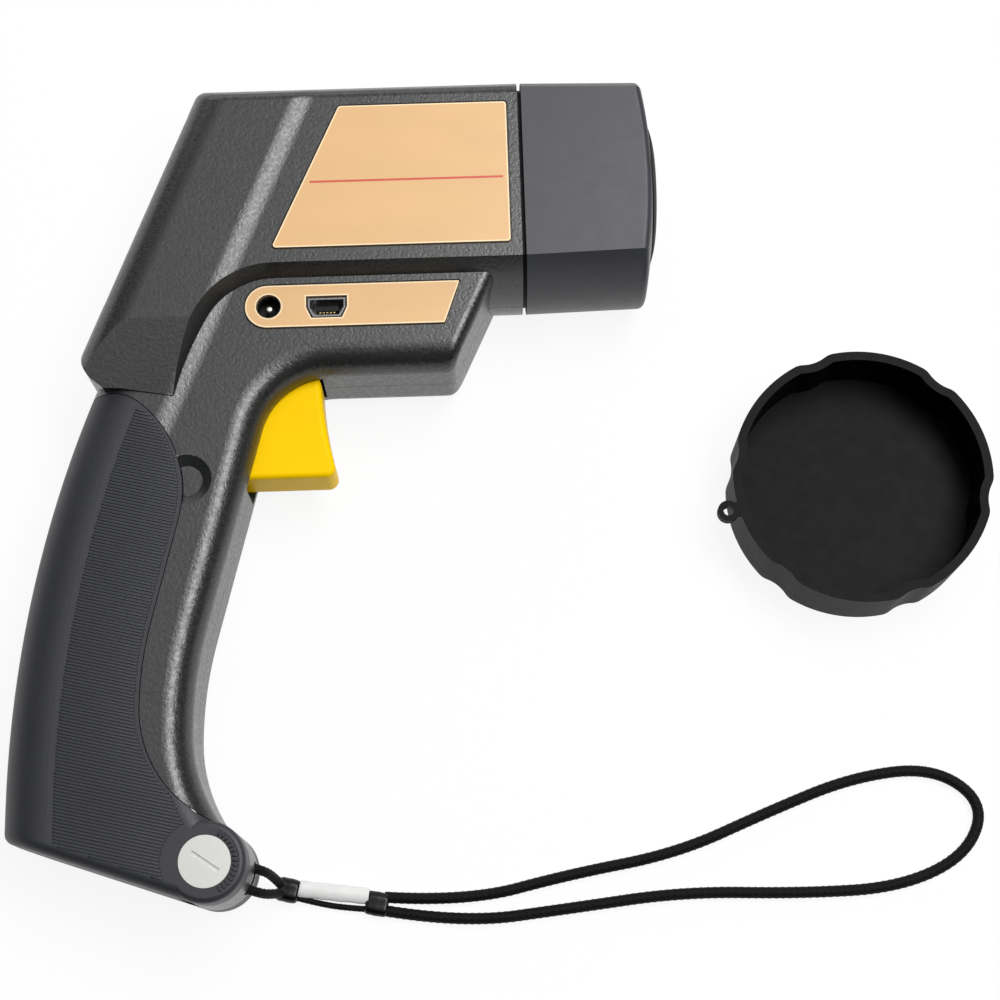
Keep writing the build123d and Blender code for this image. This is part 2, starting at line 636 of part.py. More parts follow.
def plates():
    """Plates on both sides, the red rule and the plate round the sockets."""
    top = HEAD_HALF + PLATE_PROUD
    bed = HEAD_HALF - PLATE_T + PLATE_PROUD
    face = side_plate_face(0)
    rule = Pos((RULE_START + RULE_END) / 2, RULE_Y) * Rectangle(RULE_END - RULE_START, RULE_W)
    groove = prism(rule, top - RULE_T, top + OVERSHOOT)
    parts["side_plate_right"] = prism(face, bed, top) - groove
    parts["red_rule_right"] = prism(rule, top - RULE_T, top)
    parts["side_plate_left"] = prism(face, -HEAD_HALF + SINK_LEFT, -bed + SINK_LEFT)

    top = GRIP_HALF + PLATE_PROUD
    bed = GRIP_HALF - PLATE_T + PLATE_PROUD
    jack_spot = Pos(JACK_X, PORT_Y)
    plate = prism(port_plate_face(0), bed, top)
    plate = plate - prism(jack_spot * Circle(JACK_HOLE_R), bed - OVERSHOOT, top + OVERSHOOT)
    plate = plate - prism(usb_face(PIECE_GAP), bed - OVERSHOOT, top + OVERSHOOT)
    parts["port_plate"] = plate


def sockets():
    """Power jack and small USB socket on their board."""
    board_top = PORT_BOARD_Z + BOARD_T
    floor = board_top + SOCKET_FLOOR
    deck = Pos((JACK_X + USB_X) / 2, PORT_Y - PORT_BOARD_DROP) * Rectangle(*PORT_BOARD)
    parts["port_board"] = prism(deck, PORT_BOARD_Z, board_top)
    jack_spot = Pos(JACK_X, PORT_Y)
    jack_top = GRIP_HALF - WALL - PIECE_GAP
    jack = prism(jack_spot * Rectangle(JACK_BODY, JACK_BODY), board_top, jack_top)
    parts["dc_jack"] = jack - prism(jack_spot * Circle(JACK_HOLE_R), floor, jack_top + OVERSHOOT)
    pin_top = GRIP_HALF - JACK_PIN_BACK
    pin = prism(jack_spot * Circle(JACK_PIN_R), floor, pin_top)
    tip = [edge for edge in pin.edges() if abs(edge.center().Z - pin_top) < TINY]
    parts["dc_jack_pin"] = fillet(tip, JACK_PIN_TIP_R)
    shell = prism(usb_face(0), board_top, GRIP_HALF - USB_BACK)
    parts["usb_shell"] = shell - prism(usb_face(-USB_WALL), floor, GRIP_HALF + OVERSHOOT)
    tongue = Pos(USB_X, USB_Y + USB_TONGUE_RISE) * Rectangle(*USB_TONGUE)
    parts["usb_tongue"] = prism(tongue, floor, GRIP_HALF - USB_TONGUE_BACK)
    contacts = []
    for index in range(USB_CONTACTS):
        x = USB_X + (index - (USB_CONTACTS - 1) / 2) * USB_CONTACT_PITCH
        blade = Pos(x, USB_Y - USB_CONTACT_DROP) * Rectangle(*USB_CONTACT)
        contacts.append(prism(blade, floor, GRIP_HALF - USB_CONTACT_BACK))
    parts["usb_contacts"] = Compound(contacts)


def on_back(width, length, radius, across=0.0, up=0.0):
    """Rounded rectangle in the coordinates of the slanted back."""
    return Pos(across, up) * RectangleRounded(width, length, radius)


def back_block(sketch, depth, thickness):
    """Solid whose outer face lies at a depth below the slanted back."""
    return extrude(back_plane(depth, BEZEL_CENTRE) * sketch, amount=-thickness)


def key_places():
    """Names and places of the keys below the display."""
    names = (("key_upper_right", 1, 1), ("key_upper_left", -1, 1),
             ("key_lower_right", 1, -1), ("key_lower_left", -1, -1))
    return [(name, side * KEY_PITCH_W / 2, KEY_SHIFT + row * KEY_PITCH_L / 2) for name, side, row in names]


def back_panel():
    """Bezel, window, display, key mat, keys and their board on the slanted back."""
    bezel = back_block(on_back(BEZEL_W, BEZEL_L, BEZEL_R), BEZEL_SINK, BEZEL_T)
    window = on_back(WINDOW_W, WINDOW_L, WINDOW_R, 0, WINDOW_SHIFT)
    ledge = 2 * WINDOW_LEDGE
    sight = on_back(WINDOW_W - ledge, WINDOW_L - ledge, WINDOW_R / 2, 0, WINDOW_SHIFT)
    fit = 2 * SEAT_FIT
    seat = on_back(WINDOW_W + fit, WINDOW_L + fit, WINDOW_R + SEAT_FIT, 0, WINDOW_SHIFT)
    bezel = bezel - back_block(seat, BEZEL_SINK - SEAT_FIT, WINDOW_T + fit)
    bezel = bezel - back_block(sight, 0, POCKET_DEPTH)
    parts["display_window"] = back_block(window, BEZEL_SINK + SEAT_FIT, WINDOW_T - SEAT_FIT)

    under = BEZEL_SINK + BEZEL_T
    mat_depth = under + KEY_FLANGE + KEY_TRAVEL + PIECE_GAP
    for name, across, up in key_places():
        hole = on_back(KEY_W + 2 * KEY_FIT, KEY_L + 2 * KEY_FIT, KEY_R + KEY_FIT, across, up)
        bezel = bezel - back_block(hole, 0, POCKET_DEPTH)
        button = back_block(on_back(KEY_W, KEY_L, KEY_R, across, up), BEZEL_SINK - KEY_PROUD,
                            KEY_PROUD + BEZEL_T + KEY_PLAY)
        rim = [edge for edge in button.edges()
               if abs(plane_depth(edge.center()) + KEY_PROUD - BEZEL_SINK) < KEY_PLAY]
        button = fillet(rim, KEY_EDGE_R)
        skirt = on_back(KEY_W + 2 * KEY_SKIRT, KEY_L + 2 * KEY_SKIRT, KEY_R + KEY_SKIRT / 2, across, up)
        parts[name] = button + back_block(skirt, under + KEY_PLAY, KEY_FLANGE - KEY_PLAY)
    parts["rear_bezel"] = bezel

    mat = on_back(2 * (KEY_PITCH_W + MAT_MARGIN), 2 * (KEY_PITCH_L + MAT_MARGIN), WINDOW_R, 0, KEY_SHIFT)
    parts["key_mat"] = back_block(mat, mat_depth, KEY_MAT_T)
    margin = 2 * MAT_MARGIN
    screen = on_back(WINDOW_W + margin, WINDOW_L + margin, WINDOW_R / 2, 0, WINDOW_SHIFT)
    board_depth = mat_depth + KEY_MAT_T
    parts["display_module"] = back_block(screen, under + SEAT_FIT, board_depth - under - SEAT_FIT)
    board = on_back(WINDOW_W + 2 * BOARD_MARGIN, BEZEL_L - 2 * BOARD_MARGIN, WINDOW_R)
    parts["display_board"] = back_block(board, board_depth, BOARD_T)


def plane_depth(point):
    """Depth of a point below the slanted back."""
    return (Vector(*SLANT_TOP, 0) - point).dot(OUT)


def back_openings():
    """Cuts in the housing for the bezel and what sits behind it."""
    rim = on_back(BEZEL_W + 2 * PIECE_GAP, BEZEL_L + 2 * PIECE_GAP, BEZEL_R + PIECE_GAP)
    pocket = back_block(rim, -POCKET_DEPTH, BEZEL_SINK + BEZEL_T + POCKET_DEPTH)
    ledge = 2 * POCKET_LEDGE
    through = back_block(on_back(BEZEL_W - ledge, BEZEL_L - ledge, BEZEL_R / 2), 0, POCKET_DEPTH + WALL)
    return pocket + through


def trigger_parts():
    """Trigger blade with its hub and pivot pin."""
    front = ThreePointArc(TRIGGER_TOP, TRIGGER_HOLLOW, TRIGGER_NOSE)
    aim = front % 1
    toe = JernArc(front @ 1, aim, TRIGGER_TOE_R, -180 - degrees(atan2(aim.Y, aim.X)))
    low = (toe @ 1).Y
    rest = Polyline(toe @ 1, (TRIGGER_BACK, low), (TRIGGER_BACK, TRIGGER_SHOULDER), *TRIGGER_NECK,
                    TRIGGER_TOP)
    blade = slab(make_face([front, toe, rest]), TRIGGER_HALF)
    lead = [edge for edge in blade.edges() if abs(abs(edge.center().Z) - TRIGGER_HALF) < TINY
            and edge.center().X > TRIGGER_TOP[0] and edge.length > 2 * TRIGGER_EDGE_R]
    blade = fillet(lead, TRIGGER_EDGE_R)
    body = blade + disc(TRIGGER_PIVOT, TRIGGER_HUB_R, -TRIGGER_HALF, TRIGGER_HALF)
    parts["trigger"] = body - disc(TRIGGER_PIVOT, TRIGGER_PIN_R + PIN_FIT, -FAR, FAR)
    reach = GRIP_HALF - WALL - 2 * PIN_FIT
    parts["trigger_pin"] = disc(TRIGGER_PIVOT, TRIGGER_PIN_R, -reach, reach)


def cell_pairs():
    """Foot and lean of the lower and the upper pair of cells."""
    low_lean, high_lean = CELL_LEANS
    top = beside(CELL_FOOT, 90 - low_lean, CELL_LENGTH)
    return ((CELL_FOOT, low_lean), ((top[0] + CELL_STEP[0], top[1] + CELL_STEP[1]), high_lean))


def cells_and_contacts():
    """Four cells and the contact plates at their ends."""
    nub_r, nub_height = CELL_NUB
    can_length = CELL_LENGTH - nub_height
    cells = []
    plates = []
    for foot, lean in cell_pairs():
        turn = Rot(0, 0, -lean)
        for side in (-1, 1):
            spot = Pos(foot[0], foot[1], side * CELL_Z) * turn
            can = spot * Pos(0, can_length / 2, 0) * Rot(-90, 0, 0) * Cylinder(CELL_R, can_length)
            nub = spot * Pos(0, can_length + nub_height / 2, 0) * Rot(-90, 0, 0) * Cylinder(nub_r, nub_height)
            cells.append(can + nub)
        for end in (-CONTACT_T, CELL_LENGTH + CONTACT_T):
            place = Pos(*foot) * turn * Pos(CONTACT_SHIFT, end, 0)
            plates.append(place * Box(CONTACT_W, CONTACT_T, CONTACT_LENGTH))
    parts["cells"] = Compound(cells)
    parts["cell_contacts"] = Compound(plates)


def tray_face():
    """Side view of the battery tray: troughs, front curb, switch seat and ribs."""
    wall_x = CELL_R + CELL_FIT + TRAY_T / 2
    curb = door_region(TRAY_CURB_GAP + TRAY_T) - door_region(TRAY_CURB_GAP)
    shape = curb & Pos(*TRAY_BOX_CENTRE) * Rectangle(*TRAY_BOX)
    for foot, lean in cell_pairs():
        band = Pos(wall_x, CELL_LENGTH / 2) * Rectangle(TRAY_T, CELL_LENGTH + WALL)
        shape = shape + Pos(*foot) * Rot(0, 0, -lean) * band
    seat_y = (SWITCH_Y + SPRING_Y) / 2
    shape = shape + Pos(SEAT_X - SEAT_T / 2, seat_y) * Rectangle(SEAT_T, SEAT_LENGTH)
    for rise, end, pair in TRAY_RIBS:
        foot, lean = cell_pairs()[pair]
        start = foot[0] + wall_x + rise * tan(radians(lean))
        shape = shape + Pos((start + end) / 2, foot[1] + rise) * Rectangle(end - start, TRAY_T)
    return shape


def battery_tray():
    """Tray that carries the cells, with the hinge knuckle and the strap bar in the heel."""
    tray = slab(tray_face(), TRAY_HALF) & grip_solid(WALL + PARTING_GAP)
    web = slab(polygon(PIN, *[beside(PIN, angle, WEB_REACH) for angle in WEB_ANGLES]), KNUCKLE_HALF)
    knuckle = heel(HEEL_R, -KNUCKLE_HALF, KNUCKLE_HALF) + web
    eye = beside(PIN, BAR_ANGLE, BAR_OFFSET)
    mouth = Pos(*beside(eye, BAR_ANGLE, EYE_R)) * Rot(0, 0, BAR_ANGLE) * Rectangle(2 * EYE_R, 2 * EYE_R)
    throat = Pos(*eye) * Circle(EYE_R) + mouth
    knuckle = knuckle - prism(throat, EYE_Z - EYE_W / 2, EYE_Z + EYE_W / 2)
    knuckle = knuckle - disc(eye, BAR_R, BAR_FLOOR - KNUCKLE_HALF, KNUCKLE_HALF + OVERSHOOT)
    knuckle = knuckle - heel(PIN_SHAFT_R, -FAR, FAR)
    parts["battery_tray"] = tray + knuckle
    parts["strap_bar"] = disc(eye, BAR_R, BAR_FLOOR - KNUCKLE_HALF, KNUCKLE_HALF)


def hinge_pin():
    """Slotted pin through both ears of the door, with a flat head on each side."""
    reach = GRIP_HALF - PIN_HEAD_T
    shaft = heel(PIN_SHAFT_R, -reach, reach)
    heads = heel(PIN_HEAD_R, reach, GRIP_HALF) + heel(PIN_HEAD_R, -GRIP_HALF, -reach)
    length, width, depth = PIN_SLOT
    slot = Pos(PIN[0], PIN[1], GRIP_HALF) * Rot(0, 0, PIN_SLOT_TILT) * Box(length, width, 2 * depth)
    parts["hinge_pin"] = shaft + heads - slot


def door(shell):
    """Ribbed rear half of the grip, with two ears on the hinge pin."""
    cover = shell & slab(door_region(0), FAR)
    ears = heel(HEEL_R, EAR_INNER, GRIP_HALF) + heel(HEEL_R, -GRIP_HALF, -EAR_INNER)
    rims = [edge for edge in ears.edges() if abs(abs(edge.center().Z) - GRIP_HALF) < TINY]
    ears = fillet(rims, HEEL_EDGE_R)
    cover = cover - heel(HEEL_R + KNUCKLE_GAP, -EAR_INNER, EAR_INNER) + ears
    cover = cover - heel(PIN_SHAFT_R + PIN_FIT, -FAR, FAR)
    reach = GRIP_HALF - PIN_HEAD_T - PIN_FIT
    bore_r = PIN_HEAD_R + 2 * PIN_FIT
    parts["battery_door"] = cover - heel(bore_r, reach, FAR) - heel(bore_r, -FAR, -reach)


def housing(shell):
    """Left and right housing halves with every opening cut."""
    body = shell - slab(door_region(PIECE_GAP), FAR)
    mouth_wall = WALL + SEAT_FIT
    body = body - flat_round(BARREL_R - mouth_wall, HEAD_HALF - mouth_wall, MOUTH_START, WALL)
    body = body - back_openings()
    face = side_plate_face(PIECE_GAP)
    bed = HEAD_HALF - PLATE_T + PLATE_PROUD
    body = body - prism(face, bed, FAR) - prism(face, -FAR, -bed + SINK_LEFT)
    bed = GRIP_HALF - PLATE_T + PLATE_PROUD
    body = body - prism(port_plate_face(PIECE_GAP), bed, GRIP_HALF + OVERSHOOT)
    body = body - prism(Pos(JACK_X, PORT_Y) * Circle(JACK_HOLE_R), PORT_BOARD_Z, FAR)
    body = body - prism(usb_face(PIECE_GAP), PORT_BOARD_Z, FAR)
    slot = polygon(*SLOT_MOUTH, (SLOT_FOOT[0], SLOT_BOTTOM), (SLOT_FOOT[1], SLOT_BOTTOM),
                   (SLOT_ROOF, SLOT_MOUTH[0][1]))
    body = body - slab(slot, TRIGGER_HALF + TRIGGER_SIDE_FIT)
    nail = Cone(NAIL_R - NAIL_SLOPE, NAIL_R, NAIL_DEPTH)
    body = body - Pos(*NAIL, GRIP_HALF - NAIL_DEPTH / 2) * nail
    core = grip_solid(WALL / 2) + head_solid(WALL / 2)
    for x, y, half in SCREW_PLACES:
        reach = half - WALL / 2 - BOSS_ROOT
        boss = disc((x, y), BOSS_R, -reach, reach) & core
        body = body + (boss - disc((x, y), SCREW_R + PIN_FIT, -FAR, SCREW_TIP + OVERSHOOT))
        body = body - disc((x, y), SCREW_HEAD_R + PIECE_GAP, -FAR, SCREW_SEAT)
    keep = Pos(0, 0, FAR + PARTING_GAP / 2) * Box(2 * FAR, 2 * FAR, 2 * FAR)
    parts["housing_right"] = body & keep
    parts["housing_left"] = body & mirror(keep, Plane.XY)


def fasteners():
    """Housing screws, driven from the left side."""
    head_top = SCREW_SEAT - SCREW_HEAD_T
    length, width, depth = SCREW_CROSS
    screws = []
    for x, y, half in SCREW_PLACES:
        screw = disc((x, y), SCREW_R, SCREW_SEAT, SCREW_TIP)
        screw = screw + disc((x, y), SCREW_HEAD_R, head_top, SCREW_SEAT)
        for turn in (0, 90):
            screw = screw - Pos(x, y, head_top) * Rot(0, 0, turn) * Box(length, width, 2 * depth)
        screws.append(screw)
    parts["housing_screws"] = Compound(screws)


def electronics():
    """Main board with its chips, trigger switch and trigger spring."""
    low = BOARD_Z
    top = BOARD_Z + BOARD_T
    parts["main_board"] = prism(Pos(*BOARD_CENTRE) * Rectangle(*BOARD_SIZE), low, top)
    chips = []
    for x, y, width, height, tall in CHIPS:
        chips.append(prism(Pos(x, y) * Rectangle(width, height), top, top + tall))
    parts["chips"] = Compound(chips)
    body = Pos(SEAT_X + SWITCH_SIZE[0] / 2, SWITCH_Y, 0) * Box(*SWITCH_SIZE)
    front = SEAT_X + SWITCH_SIZE[0]
    plunger = round_along_x(PLUNGER_R, front, front + PLUNGER_LENGTH)
    parts["trigger_switch"] = body + Pos(0, SWITCH_Y) * plunger
    room = TRIGGER_BACK - SEAT_X - 2 * SPRING_WIRE_R - 2 * PIN_FIT
    coil = Helix(pitch=room / SPRING_TURNS, height=room, radius=SPRING_R)
    wire = sweep(Plane(origin=coil @ 0, z_dir=coil % 0) * Circle(SPRING_WIRE_R), path=coil)
    spring = Pos(SEAT_X + SPRING_WIRE_R + PIN_FIT, SPRING_Y, 0) * Rot(0, 90, 0) * wire
    parts["trigger_spring"] = spring


def cap_outline(radius, dent_r, wave_r):
    """Round outline with finger dents, whose edges are rounded off."""
    outline = Circle(radius)
    reach = CAP_R - DENT_DEPTH + DENT_R
    for index in range(DENT_COUNT):
        spot = beside((0, 0), DENT_START + 360 / DENT_COUNT * index, reach)
        outline = outline - Pos(*spot) * Circle(dent_r)
    corners = [vertex for vertex in outline.vertices() if abs(vertex.Y) > TINY]
    return Pos(*CAP_CENTRE) * fillet(corners, wave_r)


def cap():
    """Protective cap, open side up, with a small lanyard eye."""
    low = -HEAD_HALF
    top = low + CAP_HEIGHT
    body = prism(cap_outline(CAP_R, DENT_R, WAVE_R), low, top)
    inner = cap_outline(CAP_R - CAP_WALL, DENT_R + CAP_WALL, WAVE_R - CAP_WALL)
    body = body - prism(inner, low + CAP_FLOOR, FAR)
    eye = beside(CAP_CENTRE, EYELET_ANGLE, EYELET_REACH)
    tab = disc(eye, EYELET_R, top - EYELET_T, top)
    root = beside(CAP_CENTRE, EYELET_ANGLE, EYELET_REACH - EYELET_R)
    arm = Pos(*root) * Rot(0, 0, EYELET_ANGLE) * Rectangle(*EYELET_ARM)
    body = body + tab + prism(arm, top - EYELET_T, top)
    parts["cap"] = body - disc(eye, EYELET_HOLE_R, -FAR, FAR)


def bend_radii(points):
    """Largest fair arc at each corner of a route."""
    route = [Vector(*point) for point in points]
    radii = []
    for before, corner, after in zip(route, route[1:], route[2:]):
        turn = (corner - before).get_angle(after - corner)
        short = min((corner - before).length, (after - corner).length)
        radii.append(0.45 * short / tan(radians(turn) / 2))
    return radii


def cord(name, points, radius):
    """Round cord along straight runs joined by tangent arcs."""
    radii = bend_radii(points)
    path = FilletPolyline(*points, radius=radii)
    section = Plane(origin=path @ 0, z_dir=path % 0) * Circle(radius)
    parts[name] = sweep(section, path=path)
    expected = path.length * pi * radius ** 2
    print(name, "length", round(path.length, 1), "volume", round(parts[name].volume, 1),
          "expected", round(expected, 1), "radii", [round(value, 1) for value in radii])


def strap():
    """Wrist strap: short loop through the heel, two crimps, link cord with sleeve, wrist loop."""
    cord("strap_short_loop", SHORT_LOOP, STRAP_LOOP_R)
    for name, centre, size, turn in CRIMPS:
        block = Box(*size)
        along = [edge for edge in block.edges() if abs((edge % 0).X) > 0.9]
        parts[name] = Pos(*centre) * Rot(0, 0, turn) * fillet(along, CRIMP_EDGE_R)
    cord("strap_link_cord", LINK_CORD, LINK_R)
    start, end = Vector(*SLEEVE[0]), Vector(*SLEEVE[1])
    sleeve = Plane(origin=start, z_dir=end - start) * Circle(SLEEVE_R)
    parts["strap_sleeve"] = extrude(sleeve, amount=(end - start).length)
    cord("wrist_loop", WRIST_LOOP, WRIST_R)


def build():
    """Make every piece in the drawing frame."""
    shell = shell_blank()
    housing(shell)
    door(shell)
    muzzle()
    plates()
    sockets()
    back_panel()
    trigger_parts()
    cells_and_contacts()
    battery_tray()
    hinge_pin()
    fasteners()
    electronics()
    cap()
    strap()


build()
for name, piece in parts.items():
    export_step(PLACE * piece, f"parts/{name}.step")
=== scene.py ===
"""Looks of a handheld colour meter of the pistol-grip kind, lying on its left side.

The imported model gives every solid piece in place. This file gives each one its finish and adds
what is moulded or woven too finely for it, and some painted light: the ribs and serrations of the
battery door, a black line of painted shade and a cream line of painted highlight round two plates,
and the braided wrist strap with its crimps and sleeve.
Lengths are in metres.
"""
import json
from math import cos, pi, radians, sin, sqrt, tau

import bmesh
import bpy
from bpy.props import FloatProperty, FloatVectorProperty, IntProperty, PointerProperty
from mathutils import Matrix, Vector
from mathutils.bvhtree import BVHTree


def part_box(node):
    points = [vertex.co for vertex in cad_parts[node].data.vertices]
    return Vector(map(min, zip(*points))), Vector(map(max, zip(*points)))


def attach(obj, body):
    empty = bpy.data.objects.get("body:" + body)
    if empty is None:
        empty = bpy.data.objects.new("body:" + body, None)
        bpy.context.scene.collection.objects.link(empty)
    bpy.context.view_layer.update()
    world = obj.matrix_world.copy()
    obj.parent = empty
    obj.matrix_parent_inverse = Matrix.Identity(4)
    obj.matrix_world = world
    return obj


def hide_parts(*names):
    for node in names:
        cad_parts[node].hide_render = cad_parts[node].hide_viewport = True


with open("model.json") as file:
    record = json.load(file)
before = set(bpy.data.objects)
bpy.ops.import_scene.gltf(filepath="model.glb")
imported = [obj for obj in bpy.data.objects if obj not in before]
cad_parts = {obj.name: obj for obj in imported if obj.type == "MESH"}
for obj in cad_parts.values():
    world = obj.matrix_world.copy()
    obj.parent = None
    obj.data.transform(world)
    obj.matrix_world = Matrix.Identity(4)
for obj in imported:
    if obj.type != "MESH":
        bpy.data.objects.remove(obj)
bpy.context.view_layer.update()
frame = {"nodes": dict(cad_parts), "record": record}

bl_info = {
    "name": "Colour Meter",
    "version": (1, 0, 0),
    "blender": (4, 5, 0),
    "location": "View3D > Sidebar > Meter",
    "description": "Finishes and fine pieces of a handheld colour meter",
    "category": "Object",
}

MM = 0.001

# The battery door's box, the hinge pin's middle and the radius of its head, from the frame
DOOR_LOW, DOOR_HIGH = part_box("battery_door")
PIN_LOW, PIN_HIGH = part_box("hinge_pin")
PIN_CENTRE = (PIN_LOW + PIN_HIGH) / 2
PIN_HEAD_R = (PIN_HIGH.x - PIN_LOW.x) / 2

# The shoulder: a line across the housing with relief in its finish only; the flat side stays flat
SHOULDER_FOOT = (-0.06286, 0.04128)
SHOULDER_HEAD = (-0.04200, 0.09221)
SHOULDER_WIDTH = 5.5 * MM
SHOULDER_RISE = 0.8 * MM

# The strap's routes: the corners that its cords go round
SHORT_LOOP = (
    (-0.05285, -0.08830, 0.00380), (-0.05445, -0.08650, 0.00860), (-0.05615, -0.08590, 0.01310),
    (-0.06155, -0.08410, 0.01340), (-0.06295, -0.08870, 0.01340), (-0.05805, -0.09020, 0.01320),
    (-0.05575, -0.09080, 0.01020), (-0.05395, -0.09050, 0.00660), (-0.05285, -0.09020, 0.00360),
)
LINK_CORD = (
    (-0.04975, -0.09110, 0.00160), (-0.04435, -0.09260, 0.00110), (-0.03875, -0.09360, 0.00100),
    (-0.03375, -0.09410, 0.00130),
)
WRIST_LOOP = (
    (-0.03015, -0.09160, 0.00140), (-0.01215, -0.09320, 0.00140), (0.01085, -0.08790, 0.00140),
    (0.03485, -0.08410, 0.00140), (0.05585, -0.07550, 0.00140), (0.07485, -0.06850, 0.00140),
    (0.09335, -0.06670, 0.00140), (0.10435, -0.07510, 0.00140), (0.09935, -0.08650, 0.00140),
    (0.08385, -0.09310, 0.00140), (0.06185, -0.09370, 0.00140), (0.03585, -0.09250, 0.00140),
    (0.01085, -0.09530, 0.00140), (-0.01315, -0.09780, 0.00140), (-0.03035, -0.09450, 0.00140),
)


RINGS_A_PLAIT = 6
BRAID_PLAITS = 8
BRAID_RELIEF = 0.16          # depth of the lattice, as a share of the radius
ROUTE_RESOLUTION = 24


def screen(red, green, blue):
    """Linear colour from 8-bit screen values."""
    return tuple((value / 255) ** 2.2 for value in (red, green, blue))


# ---------------------------------------------------------------------------------------------
# Settings
# ---------------------------------------------------------------------------------------------

class MeterColours(bpy.types.PropertyGroup):
    """Colours of the meter's finishes."""
    housing: FloatVectorProperty(
        name="Housing", description="Spark-textured plastic of the two halves", subtype="COLOR",
        default=screen(41, 42, 42), min=0, max=1)
    door: FloatVectorProperty(
        name="Battery door", description="Ribbed plastic of the grip's back", subtype="COLOR",
        default=screen(47, 48, 53), min=0, max=1)
    muzzle: FloatVectorProperty(
        name="Muzzle", description="Smooth plastic of the muzzle", subtype="COLOR",
        default=screen(55, 56, 61), min=0, max=1)
    plate: FloatVectorProperty(
        name="Plates", description="Satin plates on the sides", subtype="COLOR",
        default=screen(223, 178, 124), min=0, max=1)
    rule: FloatVectorProperty(
        name="Rule", description="Printed line across the label plate", subtype="COLOR",
        default=screen(205, 82, 60), min=0, max=1)
    trigger: FloatVectorProperty(
        name="Trigger", description="Glossy plastic of the trigger", subtype="COLOR",
        default=screen(254, 205, 0), min=0, max=1)
    cap: FloatVectorProperty(
        name="Cap", description="Fine-grained plastic of the cap", subtype="COLOR",
        default=screen(11, 12, 12), min=0, max=1)
    strap: FloatVectorProperty(
        name="Strap", description="Braided cord", subtype="COLOR",
        default=screen(9, 9, 10), min=0, max=1)


class MeterSizes(bpy.types.PropertyGroup):
    """Sizes of the fine pieces."""
    rib_pitch: FloatProperty(
        name="Rib pitch", description="From one rib of the door to the next",
        default=0.72 * MM, min=0.3 * MM, max=3 * MM, unit="LENGTH", precision=5)
    rib_height: FloatProperty(
        name="Rib height", description="How far a rib stands out of the flat side",
        default=0.2 * MM, min=0.05 * MM, max=0.5 * MM, unit="LENGTH", precision=5)
    rib_slope: FloatProperty(
        name="Rib slope", description="How much the ribs fall towards the trigger",
        default=radians(-13.5), min=-0.8, max=0.8, subtype="ANGLE")
    serrations: IntProperty(
        name="Serrations", description="Notches round the front of the hinge pin",
        default=15, min=3, max=40)
    short_cord: FloatProperty(
        name="Short loop", description="Thickness of the loop through the heel",
        default=2.2 * MM, min=0.5 * MM, max=5 * MM, unit="LENGTH", precision=5)
    link_cord: FloatProperty(
        name="Link cord", description="Thickness of the cord under the sleeve",
        default=1.4 * MM, min=0.5 * MM, max=4 * MM, unit="LENGTH", precision=5)
    wrist_cord: FloatProperty(
        name="Wrist loop", description="Thickness of the long loop",
        default=2.6 * MM, min=0.5 * MM, max=6 * MM, unit="LENGTH", precision=5)
    braid_pitch: FloatProperty(
        name="Braid pitch", description="Length of one plait of the cord",
        default=1.5 * MM, min=0.5 * MM, max=6 * MM, unit="LENGTH", precision=5)


class MeterStage(bpy.types.PropertyGroup):
    """Light and floor."""
    ambient: FloatProperty(
        name="Ambient", description="Strength of the sky overhead", default=0.85, min=0, max=2)
    horizon: FloatProperty(
        name="Horizon", description="Strength of the dark walls all round", default=0.05,
        min=0, max=2)
    right_power: FloatProperty(
        name="Right strip", description="Power of the long lamp above the trigger",
        default=12.2, min=0, max=100, unit="POWER")
    back_power: FloatProperty(
        name="Back lamp", description="Power of the low lamp behind the top of the head",
        default=4.2, min=0, max=100, unit="POWER")
    shadow: FloatProperty(
        name="Shadow", description="How much of the floor's own shading shows", default=0.1,
        min=0, max=1, subtype="FACTOR")


# ---------------------------------------------------------------------------------------------
# Finishes
# ---------------------------------------------------------------------------------------------

def set_inputs(node, values):
    """Constants on a node's inputs."""
    for socket, value in values.items():
        node.inputs[socket].default_value = value


